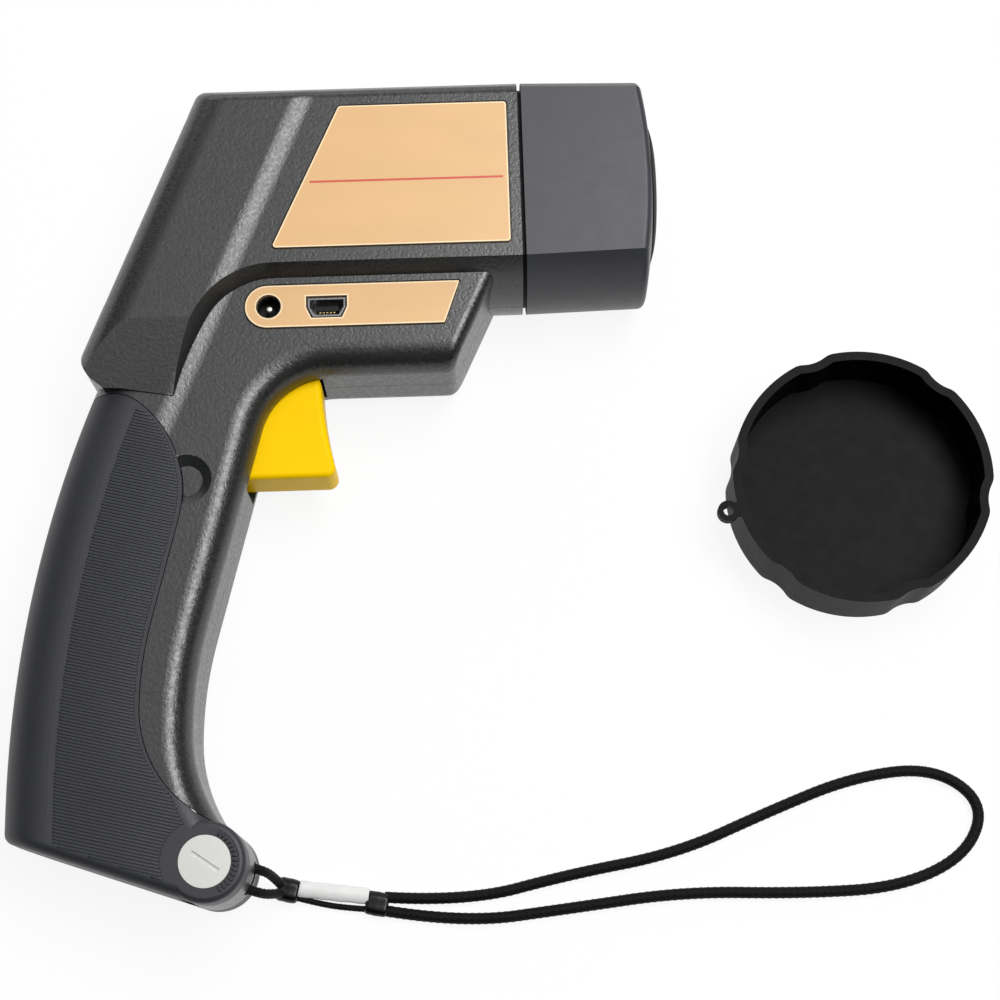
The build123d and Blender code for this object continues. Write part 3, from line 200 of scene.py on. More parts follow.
class Finish:
    """A material under construction, with its principled shader."""

    def __init__(self, name, colour, roughness):
        self.material = bpy.data.materials.new(name)
        self.material.use_nodes = True
        self.tree = self.material.node_tree
        self.shader = self.tree.nodes["Principled BSDF"]
        self.colour = colour
        self.put("Base Color", (*colour, 1))
        self.put("Roughness", roughness)
        self.place = self.tree.nodes.new("ShaderNodeTexCoord").outputs["Object"]
        self.relief = None

    def put(self, socket, value):
        """Constant on the shader itself."""
        self.shader.inputs[socket].default_value = value

    def node(self, kind, **values):
        """New node with its properties set."""
        made = self.tree.nodes.new(kind)
        for key, value in values.items():
            setattr(made, key, value)
        return made

    def link(self, source, target):
        self.tree.links.new(source, target)

    def noise(self, size, detail=3.0, stretch=(1, 1, 1)):
        """Noise whose grains are about this long."""
        mapping = self.node("ShaderNodeMapping")
        mapping.inputs["Scale"].default_value = stretch
        self.link(self.place, mapping.inputs["Vector"])
        noise = self.node("ShaderNodeTexNoise")
        noise.inputs["Scale"].default_value = 1 / size
        noise.inputs["Detail"].default_value = detail
        self.link(mapping.outputs["Vector"], noise.inputs["Vector"])
        return noise.outputs["Fac"]

    def ramp(self, foot, head, width):
        """1 on the left of a line from foot to head, falling to 0 across a width on its right."""
        along = (Vector(head) - Vector(foot)).normalized()
        split = self.node("ShaderNodeSeparateXYZ")
        self.link(self.place, split.inputs["Vector"])
        offset = None
        for axis, share, start in (("X", along.y, foot[0]), ("Y", -along.x, foot[1])):
            part = self.node("ShaderNodeMath", operation="MULTIPLY_ADD")
            part.inputs[1].default_value = share
            part.inputs[2].default_value = -share * start
            self.link(split.outputs[axis], part.inputs[0])
            if offset is None:
                offset = part.outputs["Value"]
                continue
            total = self.node("ShaderNodeMath", operation="ADD")
            self.link(offset, total.inputs[0])
            self.link(part.outputs["Value"], total.inputs[1])
            offset = total.outputs["Value"]
        fall = self.node("ShaderNodeMapRange", interpolation_type="SMOOTHSTEP")
        set_inputs(fall, {"From Min": -width / 2, "From Max": width / 2, "To Min": 1, "To Max": 0})
        self.link(offset, fall.inputs["Value"])
        return fall.outputs["Result"]

    def range(self, source, low, high, start=0.3, end=0.7):
        """Source stretched from start..end to low..high."""
        span = self.node("ShaderNodeMapRange")
        set_inputs(span, {"From Min": start, "From Max": end, "To Min": low, "To Max": high})
        self.link(source, span.inputs["Value"])
        return span.outputs["Result"]

    def bump(self, source, height, strength=1.0):
        """Adds relief of a real height to what is there."""
        bump = self.node("ShaderNodeBump")
        bump.inputs["Distance"].default_value = height
        bump.inputs["Strength"].default_value = strength
        self.link(source, bump.inputs["Height"])
        if self.relief:
            self.link(self.relief, bump.inputs["Normal"])
        self.relief = bump.outputs["Normal"]
        self.link(self.relief, self.shader.inputs["Normal"])

    def mottle(self, source, dark, light):
        """Colour that wanders between a darker and a lighter shade of itself."""
        mix = self.node("ShaderNodeMix", data_type="RGBA")
        mix.inputs["A"].default_value = (*[value * dark for value in self.colour], 1)
        mix.inputs["B"].default_value = (*[min(1, value * light) for value in self.colour], 1)
        self.link(source, mix.inputs["Factor"])
        self.link(mix.outputs["Result"], self.shader.inputs["Base Color"])

    def gloss(self, source, low, high):
        """Roughness that wanders."""
        self.link(self.range(source, low, high), self.shader.inputs["Roughness"])


def spark_plastic(name, colour):
    """Moulded plastic with the coarse, blotchy texture of a spark-eroded tool."""
    made = Finish(name, colour, 0.36)
    made.put("Specular IOR Level", 0.75)
    coarse = made.noise(0.75 * MM, 2.0)
    fine = made.noise(0.4 * MM, 2.0)
    made.mottle(made.range(made.noise(14 * MM), 0, 1), 0.9, 1.08)
    made.gloss(coarse, 0.24, 0.4)
    made.bump(made.ramp(SHOULDER_FOOT, SHOULDER_HEAD, SHOULDER_WIDTH), SHOULDER_RISE)
    made.bump(coarse, 0.08 * MM, 0.8)
    made.bump(fine, 0.05 * MM, 0.7)
    return made.material


def satin_plastic(name, colour, roughness, grain=0.25 * MM, depth=0.012 * MM, shine=0.5):
    """Smooth moulded plastic with a breath of grain."""
    made = Finish(name, colour, roughness)
    made.put("Specular IOR Level", shine)
    made.mottle(made.range(made.noise(9 * MM), 0, 1), 0.98, 1.02)
    made.gloss(made.noise(3 * MM), roughness - 0.02, roughness + 0.02)
    made.bump(made.noise(grain, 2.0), depth, 0.7)
    return made.material


def plate_film(name, colour):
    """Satin film with a faint flow in its print."""
    made = Finish(name, colour, 0.42)
    made.mottle(made.range(made.noise(11 * MM, 2.0, (0.5, 1.4, 1)), 0, 1), 0.965, 1.02)
    made.bump(made.noise(0.3 * MM, 1.0), 0.006 * MM, 0.5)
    made.put("Coat Weight", 0.15)
    made.put("Coat Roughness", 0.25)
    return made.material


def trigger_gloss(name, colour):
    """Glossy coloured plastic."""
    made = Finish(name, colour, 0.38)
    made.put("Specular IOR Level", 0.2)
    made.put("IOR", 1.25)
    made.mottle(made.range(made.noise(12 * MM), 0, 1), 0.98, 1.02)
    made.bump(made.noise(1.2 * MM, 2.0), 0.01 * MM, 0.5)
    return made.material


def braided_cord(name, colour):
    """Woven polyester with a soft sheen."""
    made = Finish(name, colour, 0.7)
    made.put("Specular IOR Level", 0.2)
    made.mottle(made.range(made.noise(0.4 * MM), 0, 1), 0.6, 1.5)
    made.bump(made.noise(0.14 * MM, 2.0), 0.03 * MM, 0.8)
    made.put("Sheen Weight", 0.1)
    made.put("Sheen Roughness", 0.4)
    return made.material


def machined_metal(name, colour, roughness, stretch=(1, 1, 1)):
    """Turned or drawn metal with fine lines."""
    made = Finish(name, colour, roughness)
    made.put("Metallic", 1.0)
    made.gloss(made.noise(0.6 * MM, 4.0, stretch), roughness - 0.06, roughness + 0.08)
    made.bump(made.noise(0.2 * MM, 3.0, stretch), 0.006 * MM, 0.6)
    return made.material


def clear_plastic(name, colour, roughness, transmission):
    """Clear or milky plastic or glass."""
    made = Finish(name, colour, roughness)
    made.put("Transmission Weight", transmission)
    made.put("IOR", 1.45)
    made.bump(made.noise(4 * MM, 2.0), 0.02 * MM, 0.4)
    return made.material


def circuit_board(name, colour):
    """Lacquered board with a trace pattern in relief."""
    made = Finish(name, colour, 0.35)
    brick = made.node("ShaderNodeTexBrick")
    brick.inputs["Scale"].default_value = 260
    brick.inputs["Mortar Size"].default_value = 0.03
    made.link(made.place, brick.inputs["Vector"])
    made.mottle(made.range(brick.outputs["Fac"], 0, 1, 0, 1), 0.9, 1.5)
    made.bump(brick.outputs["Fac"], 0.03 * MM, 0.7)
    return made.material


def cell_wrap(name, colour):
    """Foil-printed sleeve in plain bands."""
    made = Finish(name, colour, 0.28)
    made.put("Metallic", 0.6)
    split = made.node("ShaderNodeSeparateXYZ")
    made.link(made.place, split.inputs["Vector"])
    made.mottle(made.range(split.outputs["Y"], 0, 1, -0.075, -0.045), 0.35, 1.2)
    made.bump(made.noise(2 * MM), 0.01 * MM, 0.4)
    return made.material


def finishes(colours):
    """Material for each finish slot of the record."""
    return {
        "housing_plastic": spark_plastic("spark_grey", colours.housing),
        "door_plastic": satin_plastic("door_grey", colours.door, 0.5, 0.3 * MM, 0.03 * MM),
        "muzzle_plastic": satin_plastic("muzzle_grey", colours.muzzle, 0.42),
        "plate_tan": plate_film("plate_tan", colours.plate),
        # Cream of a painted highlight along the plates' edges
        "plate_edge_highlight": plate_film("plate_edge_highlight", screen(250, 222, 178)),
        "rule_red": plate_film("rule_red", colours.rule),
        "trigger_yellow": trigger_gloss("trigger_yellow", colours.trigger),
        "soft_black": satin_plastic("soft_black", screen(16, 16, 17), 0.62, shine=0.25),
        "key_grey": satin_plastic("key_grey", screen(120, 121, 124), 0.6),
        "black_plastic": satin_plastic("socket_black", screen(10, 10, 11), 0.45, shine=0.25),
        "clear_glass": clear_plastic("clear_glass", (0.95, 0.97, 0.98), 0.03, 1.0),
        "window_glass": clear_plastic("window_glass", (0.75, 0.78, 0.8), 0.05, 0.9),
        "display_glass": satin_plastic("display_grey", screen(142, 152, 136), 0.3),
        "board_green": circuit_board("board_green", (0.015, 0.14, 0.06)),
        "chip_black": satin_plastic("chip_black", screen(24, 24, 25), 0.55),
        "lamp_white": satin_plastic("lamp_white", screen(240, 241, 236), 0.3),
        "steel": machined_metal("steel", screen(206, 206, 202), 0.42, (1, 6, 1)),
        # Darker metal; on the USB shell it is a painted shade, darker than the shell's own metal
        "socket_metal": machined_metal("socket_metal", screen(120, 120, 120), 0.3),
        "gold": machined_metal("contact_gold", (0.83, 0.63, 0.28), 0.25),
        "cell_wrap": cell_wrap("cell_wrap", (0.35, 0.36, 0.38)),
        "cap_plastic": satin_plastic("cap_black", colours.cap, 0.55, 0.4 * MM, 0.03 * MM, 0.12),
        "strap_cord": braided_cord("strap_black", colours.strap),
        "crimp_black": satin_plastic("crimp_black", screen(14, 14, 15), 0.35, 0.5 * MM, 0.02 * MM,
                                     0.3),
        "sleeve_clear": clear_plastic("sleeve_milk", (0.95, 0.95, 0.94), 0.3, 0.25),
    }


def material(slot):
    """Material of a finish slot, made on first use."""
    if slot not in PALETTE:
        PALETTE.update(finishes(bpy.context.scene.meter_colours))
    return PALETTE[slot]


PALETTE = {}


def dress(*nodes):
    """Gives model nodes the finish of their slot."""
    slots = {part["node"]: part["material_slot"] for part in frame["record"]["subparts"]}
    for name in nodes:
        held = frame["nodes"][name].data.materials
        held.clear()
        held.append(material(slots[name]))


# ---------------------------------------------------------------------------------------------
# Mesh making
# ---------------------------------------------------------------------------------------------

def add_piece(name, mesh, body, slot, smooth=True, finish=None):
    """Object that rides on a body, with the finish of a slot or one of its own."""
    for face in mesh.faces:
        face.smooth = smooth
    bmesh.ops.recalc_face_normals(mesh, faces=mesh.faces)
    data = bpy.data.meshes.new(name)
    mesh.to_mesh(data)
    mesh.free()
    piece = bpy.data.objects.new(name, data)
    bpy.context.scene.collection.objects.link(piece)
    data.materials.append(material(finish or slot))
    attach(piece, body)
    return piece


def add_bar(mesh, rings):
    """Closed bar through rings of points, each ring as long as the next."""
    loops = [[mesh.verts.new(point) for point in ring] for ring in rings]
    count = len(loops[0])
    for near, far in zip(loops, loops[1:]):
        for index in range(count):
            after = (index + 1) % count
            mesh.faces.new((near[index], near[after], far[after], far[index]))
    mesh.faces.new(loops[0][::-1])
    mesh.faces.new(loops[-1])


def smooth_route(corners):
    """Points of the smooth line that goes round a route's corners."""
    curve = bpy.data.curves.new("route", "CURVE")
    curve.dimensions = "3D"
    curve.resolution_u = ROUTE_RESOLUTION
    spline = curve.splines.new("NURBS")
    spline.points.add(len(corners) - 1)
    for point, corner in zip(spline.points, corners):
        point.co = (*corner, 1)
    spline.order_u = 3
    spline.use_endpoint_u = True
    holder = bpy.data.objects.new("route", curve)
    bpy.context.scene.collection.objects.link(holder)
    bpy.context.view_layer.update()
    depsgraph = bpy.context.evaluated_depsgraph_get()
    mesh = bpy.data.meshes.new_from_object(holder.evaluated_get(depsgraph))
    points = [vertex.co.copy() for vertex in mesh.vertices]
    bpy.data.objects.remove(holder)
    bpy.data.curves.remove(curve)
    bpy.data.meshes.remove(mesh)
    return points


def even_points(points, step):
    """Points at an even distance along a line."""
    lengths = [0.0]
    for near, far in zip(points, points[1:]):
        lengths.append(lengths[-1] + (far - near).length)
    count = max(2, round(lengths[-1] / step))
    spaced = []
    index = 0
    for number in range(count + 1):
        goal = lengths[-1] * number / count
        while index < len(points) - 2 and lengths[index + 1] < goal:
            index += 1
        share = (goal - lengths[index]) / max(1e-9, lengths[index + 1] - lengths[index])
        spaced.append(points[index].lerp(points[index + 1], share))
    return spaced


def tube_rings(points, section, sides):
    """Rings across a line; section(distance, angle) gives how far sideways and up a point is."""
    rings = []
    side = None
    travelled = 0.0
    for index, point in enumerate(points):
        before = points[max(0, index - 1)]
        after = points[min(len(points) - 1, index + 1)]
        along = (after - before).normalized()
        if side is None:
            side = along.cross(Vector((0, 0, 1))).normalized()
        side = (side - along * side.dot(along)).normalized()
        up = side.cross(along)
        if index:
            travelled += (point - points[index - 1]).length
        ring = []
        for number in range(sides):
            angle = tau * number / sides
            across, rise = section(travelled, angle)
            ring.append(point + side * across + up * rise)
        rings.append(ring)
    return rings


def braid_section(radius, pitch, plaits, relief):
    """Round section with the diamond lattice of a tubular braid."""
    def section(distance, angle):
        turn = tau * distance / (2 * pitch)
        lattice = abs(sin(plaits * angle / 2 + turn) * sin(plaits * angle / 2 - turn))
        reach = radius * (1 - relief + relief * sqrt(lattice))
        return reach * cos(angle), reach * sin(angle)
    return section


def add_cord(name, corners, width, pitch, body, node):
    """Braided cord along a route; gives the piece and its line."""
    points = even_points(smooth_route(corners), pitch / RINGS_A_PLAIT)
    mesh = bmesh.new()
    section = braid_section(width / 2, pitch, BRAID_PLAITS, BRAID_RELIEF)
    rings = tube_rings(points, section, 4 * BRAID_PLAITS)
    add_bar(mesh, rings)
    piece = add_piece(name, mesh, body, "strap_cord")
    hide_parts(node)
    return piece, points


# ---------------------------------------------------------------------------------------------
# Pieces
# ---------------------------------------------------------------------------------------------

class METER_OT_camera(bpy.types.Operator):
    """Camera above the meter, seen a little from the grip's end."""
    bl_idname = "colour_meter.camera"
    bl_label = "Camera"

    PLACE = Vector((-5.82, -126.20, 452.62)) * MM
    AIM = Vector((-1.95, -5.70, 17.0)) * MM
    UP = Vector((0.0309, 0.9633, 0.2667))
    LENS = 72.32          # millimetres, on a sensor of 36
    SENSOR = 36.0
    CLIP = (0.01, 20)

    def execute(self, context):
        data = bpy.data.cameras.new("camera")
        data.sensor_width = self.SENSOR
        data.lens = self.LENS
        data.clip_start, data.clip_end = self.CLIP
        camera = bpy.data.objects.new("camera", data)
        context.scene.collection.objects.link(camera)
        back = (self.PLACE - self.AIM).normalized()
        right = self.UP.cross(back).normalized()
        turn = Matrix((right, back.cross(right), back)).transposed()
        camera.matrix_world = Matrix.Translation(self.PLACE) @ turn.to_4x4()
        context.scene.camera = camera
        return {"FINISHED"}


class METER_OT_strap(bpy.types.Operator):
    """Wrist strap: short loop through the heel, crimps, link cord, sleeve and wrist loop."""
    bl_idname = "colour_meter.strap"
    bl_label = "Wrist Strap"

    # Crimps: share of the solid's box, sides, how far the ends draw in, ripple and waist
    CRIMP_REACH = 0.98
    CRIMP_WIDTH = 0.9
    CRIMP_STEPS = 14
    CRIMP_SIDES = 28
    CRIMP_DRAW = 0.16
    CRIMP_RIPPLE = 0.012
    CRIMP_RIPPLES = 7
    CRIMP_WAIST = 0.22
    # Sleeve: wall, sides, step along it, depth and lengths of its creases, and how flat it lies
    SLEEVE_WALL = 0.3 * MM
    SLEEVE_SIDES = 24
    SLEEVE_STEP = 0.25 * MM
    CREASE_DEPTH = 0.04
    CREASE_SHORT = 0.9 * MM
    CREASE_LONG = 2.3 * MM
    SLEEVE_FLAT = (1.12, 0.9)

    def crimp(self, name, node, turn, bulge):
        """Shrink tube pressed round two cords, waisted between them."""
        low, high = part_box(node)
        centre = (low + high) / 2
        reach = (high.x - low.x) / 2 * self.CRIMP_REACH
        width = (high.y - low.y) / 2 * self.CRIMP_WIDTH
        height = (high.z - low.z) / 2
        along = Vector((cos(turn), sin(turn), 0))
        across = Vector((-sin(turn), cos(turn), 0))
        rings = []
        for number in range(self.CRIMP_STEPS + 1):
            share = 2 * number / self.CRIMP_STEPS - 1
            mouth = (1 - self.CRIMP_DRAW * share ** 6
                     + self.CRIMP_RIPPLE * sin(share * self.CRIMP_RIPPLES + bulge))
            ring = []
            for index in range(self.CRIMP_SIDES):
                angle = tau * index / self.CRIMP_SIDES
                waist = 1 - self.CRIMP_WAIST * cos(angle + pi / 2) ** 8
                ring.append(centre + along * reach * share + across * width * mouth * cos(angle)
                            + Vector((0, 0, height * mouth * waist * sin(angle))))
            rings.append(ring)
        mesh = bmesh.new()
        add_bar(mesh, rings)
        piece = add_piece(name, mesh, "meter", "crimp_black")
        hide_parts(node)
        return piece

    def sleeve(self):
        """Milky tube, a little flattened, with creases across it."""
        low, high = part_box("strap_sleeve")
        radius = (high.z - low.z) / 2
        start = Vector((low.x, high.y - radius, (low.z + high.z) / 2))
        end = Vector((high.x, low.y + radius, (low.z + high.z) / 2))
        points = even_points([start, end], self.SLEEVE_STEP)

        def skin(inset):
            def section(distance, angle):
                wave = sin(distance / self.CREASE_SHORT) * sin(distance / self.CREASE_LONG)
                reach = (radius - inset) * (1 + self.CREASE_DEPTH * wave)
                wide, high_share = self.SLEEVE_FLAT
                return wide * reach * cos(angle), high_share * reach * sin(angle)
            return section

        sides = self.SLEEVE_SIDES
        mesh = bmesh.new()
        skins = []
        for inset in (0, self.SLEEVE_WALL):
            rings = tube_rings(points, skin(inset), sides)
            skins.append([[mesh.verts.new(point) for point in ring] for ring in rings])
        for skin_number, loops in enumerate(skins):
            for near, far in zip(loops, loops[1:]):
                for index in range(sides):
                    after = (index + 1) % sides
                    quad = (near[index], near[after], far[after], far[index])
                    mesh.faces.new(quad if skin_number == 0 else quad[::-1])
        for ring in (0, -1):
            for index in range(sides):
                after = (index + 1) % sides
                mesh.faces.new((skins[0][ring][index], skins[1][ring][index],
                                skins[1][ring][after], skins[0][ring][after]))
        piece = add_piece("strap_sleeve_tube", mesh, "meter", "sleeve_clear")
        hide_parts("strap_sleeve")
        return piece

    def execute(self, context):
        sizes = context.scene.meter_sizes
        pitch = sizes.braid_pitch
        short, short_line = add_cord(
            "strap_short_cord", SHORT_LOOP, sizes.short_cord, pitch, "meter", "strap_short_loop")
        link, _ = add_cord(
            "strap_link", LINK_CORD, sizes.link_cord, 0.7 * pitch, "meter", "strap_link_cord")
        wrist, wrist_line = add_cord(
            "strap_wrist_cord", WRIST_LOOP, sizes.wrist_cord, pitch, "meter", "wrist_loop")
        rear = self.crimp("strap_crimp_rear", "strap_rear_crimp", radians(-14), 0.4)
        front = self.crimp("strap_crimp_front", "strap_front_crimp", radians(-12), 1.7)
        sleeve = self.sleeve()
        return {"FINISHED"}


class METER_OT_housing(bpy.types.Operator):
    """The two housing halves and their screws."""
    bl_idname = "colour_meter.housing"
    bl_label = "Housing"

    def execute(self, context):
        dress("housing_right", "housing_left", "housing_screws", "battery_tray", "hinge_pin",
              "strap_bar", "cells", "cell_contacts")
        return {"FINISHED"}


class METER_OT_door(bpy.types.Operator):
    """Fine ribs on both flats of the battery door and serrations round the hinge pin."""
    bl_idname = "colour_meter.door"
    bl_label = "Battery Door"

    REAR_MARGIN = 1.6 * MM       # plain strip along the rounded back
    SEAM_MARGIN = 0.7 * MM       # and along the seam and the base
    STEP = 0.25 * MM
    FLAT_TOLERANCE = 0.02 * MM
    RAY_START = 0.01             # how far off the flat side a ray starts
    EAR_R = 8.4 * MM             # no ribs on the round ear
    RIB_LEAST = 2 * MM           # shorter ribs are left out
    RIB_HALF = 0.33              # half a rib's width, as a share of the pitch
    RIB_SINK = 0.05 * MM
    RIB_TAPER = 0.5 * MM
    # Outline of a rib: shares of its half width and of its height
    RIB_OUTLINE = ((-1.0, 0.0), (-0.75, 0.62), (-0.3, 0.95), (0.3, 0.95), (0.75, 0.62), (1.0, 0.0))
    FAN_GAP = 0.35 * MM          # from the pin's head to the serrations
    FAN_WIDTH = 1.35 * MM
    FAN_HALF_TURN = radians(62)
    FAN_HALF = 0.30              # half a ridge's width, as a share of the step
    FAN_HEIGHT = 0.28 * MM
    FAN_OUTLINE = ((-1, -0.3), (-0.6, 0.8), (0.0, 1.0), (0.6, 0.8), (1, -0.3))

    def flat_spans(self, tree, start, along, length, face, out):
        """Stretches of a line that lie on the door's flat side."""
        spans = []
        first = None
        for number in range(int(length / self.STEP) + 1):
            spot = start + along * (number * self.STEP)
            above = Vector((spot.x, spot.y, face + out * self.RAY_START))
            hit = tree.ray_cast(above, Vector((0, 0, -out)))[0]
            on_ear = (spot - Vector((PIN_CENTRE.x, PIN_CENTRE.y, 0))).length < self.EAR_R
            flat = hit is not None and abs(hit.z - face) < self.FLAT_TOLERANCE and not on_ear
            if flat and first is None:
                first = number
            if not flat and first is not None:
                spans.append((first * self.STEP, (number - 1) * self.STEP))
                first = None
        return spans

    def ribs(self, name, sizes, face, out, tree):
        """One raised bar for each line, with a round back and tapered ends."""
        slope = sizes.rib_slope
        along = Vector((cos(slope), sin(slope), 0))
        up = Vector((-sin(slope), cos(slope), 0))
        span = DOOR_HIGH - DOOR_LOW
        length = span.x / cos(slope) + span.y
        mesh = bmesh.new()
        count = int((span.y + span.x) / sizes.rib_pitch)
        for number in range(count):
            start = Vector((DOOR_LOW.x, DOOR_LOW.y + number * sizes.rib_pitch, 0))
            for near, far in self.flat_spans(tree, start, along, length, face, out):
                near += self.REAR_MARGIN
                far -= self.SEAM_MARGIN
                if far - near < self.RIB_LEAST:
                    continue
                self.rib(mesh, start, along, up, near, far, sizes, face, out)
        return add_piece(name, mesh, "door", "door_plastic")

    def rib(self, mesh, start, along, up, near, far, sizes, face, out):
        """One bar from near to far along a line."""
        half = self.RIB_HALF * sizes.rib_pitch
        taper = self.RIB_TAPER
        rings = []
        for place, share in ((near, 0.0), (near + taper, 1.0), (far - taper, 1.0), (far, 0.0)):
            centre = start + along * place
            ring = []
            for across, rise in self.RIB_OUTLINE:
                sink = self.RIB_SINK if rise == 0 else 0
                level = face + out * (rise * share * sizes.rib_height - sink)
                point = centre + up * across * half
                ring.append(Vector((point.x, point.y, level)))
            rings.append(ring)
        add_bar(mesh, rings)

    def serrations(self, name, sizes, face, out):
        """Fan of short ridges on the ear, in front of the pin's head."""
        mesh = bmesh.new()
        inner = PIN_HEAD_R + self.FAN_GAP
        outer = inner + self.FAN_WIDTH
        reaches = ((inner, 0.3), (inner + 0.2 * MM, 1.0), (outer - 0.3 * MM, 1.0), (outer, 0.2))
        step = 2 * self.FAN_HALF_TURN / (sizes.serrations - 1)
        for number in range(sizes.serrations):
            angle = number * step - self.FAN_HALF_TURN
            rings = []
            for radius, rise in reaches:
                ring = []
                for across, level in self.FAN_OUTLINE:
                    turn = angle + across * self.FAN_HALF * step
                    height = level * rise * self.FAN_HEIGHT if level > 0 else -self.RIB_SINK
                    x = PIN_CENTRE.x + radius * cos(turn)
                    y = PIN_CENTRE.y + radius * sin(turn)
                    ring.append(Vector((x, y, face + out * height)))
                rings.append(ring)
            add_bar(mesh, rings)
        return add_piece(name, mesh, "door", "door_plastic")

    def execute(self, context):
        sizes = context.scene.meter_sizes
        dress("battery_door")
        door = frame["nodes"]["battery_door"]
        tree = BVHTree.FromObject(door, context.evaluated_depsgraph_get())
        for side, face, out in (("right", DOOR_HIGH.z, 1), ("left", DOOR_LOW.z, -1)):
            self.ribs(f"door_ribs_{side}", sizes, face, out, tree)
            self.serrations(f"pin_serrations_{side}", sizes, face, out)
        return {"FINISHED"}


class METER_OT_muzzle(bpy.types.Operator):
    """Muzzle with its nose ring, glass, lamps and lens."""
    bl_idname = "colour_meter.muzzle"
    bl_label = "Muzzle"

    def execute(self, context):
        dress("muzzle_shroud", "muzzle_gasket", "nose_ring", "aperture_glass", "light_chamber",
              "lamp_board", "lamps", "lens_barrel", "lens", "sensor", "sensor_board")
        return {"FINISHED"}


class METER_OT_plates(bpy.types.Operator):
    """Plates on the sides with the red rule, and round two plates a black line of painted shade and
    a cream line of painted highlight.
    """
    bl_idname = "colour_meter.plates"
    bl_label = "Plates"

    LIFT = 0.02 * MM             # the lines lie just above the plate
    # Black line of painted shade at the plate's outer edge, standing in for the shade in the gap
    # round the plate
    GAP_SHADE_LINE = 0.2 * MM
    # Cream line of painted highlight on the plate's edge, just inside the black line
    EDGE_HIGHLIGHT_LINE = 0.32 * MM
    FACE_TOLERANCE = 0.02 * MM
    RULE_SIDES = 4               # the rule's slot is no edge of the plate

    def line(self, name, node, start, width, slot, finish):
        """Thin line that follows a plate's edge at a distance inside it."""
        mesh = bmesh.new()
        mesh.from_mesh(frame["nodes"][node].data)
        top = max(vertex.co.z for vertex in mesh.verts)
        below = [part for part in mesh.faces
                 if any(abs(vertex.co.z - top) >= self.FACE_TOLERANCE for vertex in part.verts)]
        bmesh.ops.delete(mesh, geom=below, context="FACES")
        bmesh.ops.holes_fill(mesh, edges=mesh.edges[:], sides=self.RULE_SIDES)
        face = mesh.faces[:]
        if start:
            edge = bmesh.ops.inset_region(mesh, faces=face, thickness=start, use_boundary=True,
                                          use_even_offset=True)["faces"]
            bmesh.ops.delete(mesh, geom=edge, context="FACES")
        bmesh.ops.inset_region(mesh, faces=face, thickness=width, use_boundary=True,
                               use_even_offset=True)
        bmesh.ops.delete(mesh, geom=face, context="FACES")
        for vertex in mesh.verts:
            vertex.co.z += self.LIFT
        add_piece(name, mesh, "meter", slot, False, finish)

    def execute(self, context):
        dress("side_plate_right", "red_rule_right", "side_plate_left", "port_plate")
        for name, node in (("label_edge", "side_plate_right"), ("port_edge", "port_plate")):
            # Black line of painted shade for the gap round the plate, laid along the plate's outer
            # edge
            self.line(f"{name}_gap_shade", node, 0, self.GAP_SHADE_LINE, "black_plastic", None)
            # Cream line of painted highlight on the plate's edge, all round it, inside the black
            # line
            self.line(f"{name}_edge_highlight", node, self.GAP_SHADE_LINE, self.EDGE_HIGHLIGHT_LINE, "plate_tan",
                      "plate_edge_highlight")
        return {"FINISHED"}


class METER_OT_sockets(bpy.types.Operator):
    """Power jack and small USB socket."""
    bl_idname = "colour_meter.sockets"
    bl_label = "Sockets"

    def execute(self, context):
        dress("port_board", "dc_jack", "dc_jack_pin", "usb_shell", "usb_tongue", "usb_contacts")
        # Painted shade: the USB shell gets the darker socket metal, standing in for the shade of the
        # socket's mouth and the dark that it reflects
        frame["nodes"]["usb_shell"].data.materials[0] = material("socket_metal")
        return {"FINISHED"}


class METER_OT_display(bpy.types.Operator):
    """Bezel, display window and keys on the back."""
    bl_idname = "colour_meter.display"
    bl_label = "Display and Keys"

    def execute(self, context):
        dress("display_window", "rear_bezel", "key_upper_right", "key_upper_left", "key_lower_right",
              "key_lower_left", "key_mat", "display_module", "display_board")
        return {"FINISHED"}


class METER_OT_trigger(bpy.types.Operator):
    """Trigger with its pin, spring and switch."""
    bl_idname = "colour_meter.trigger"
    bl_label = "Trigger"

    def execute(self, context):
        dress("trigger", "trigger_pin", "trigger_spring", "trigger_switch", "main_board", "chips")
        return {"FINISHED"}


class METER_OT_cap(bpy.types.Operator):
    """Protective cap that lies beside the meter."""
    bl_idname = "colour_meter.cap"
    bl_label = "Cap"

    def execute(self, context):
        dress("cap")
        return {"FINISHED"}


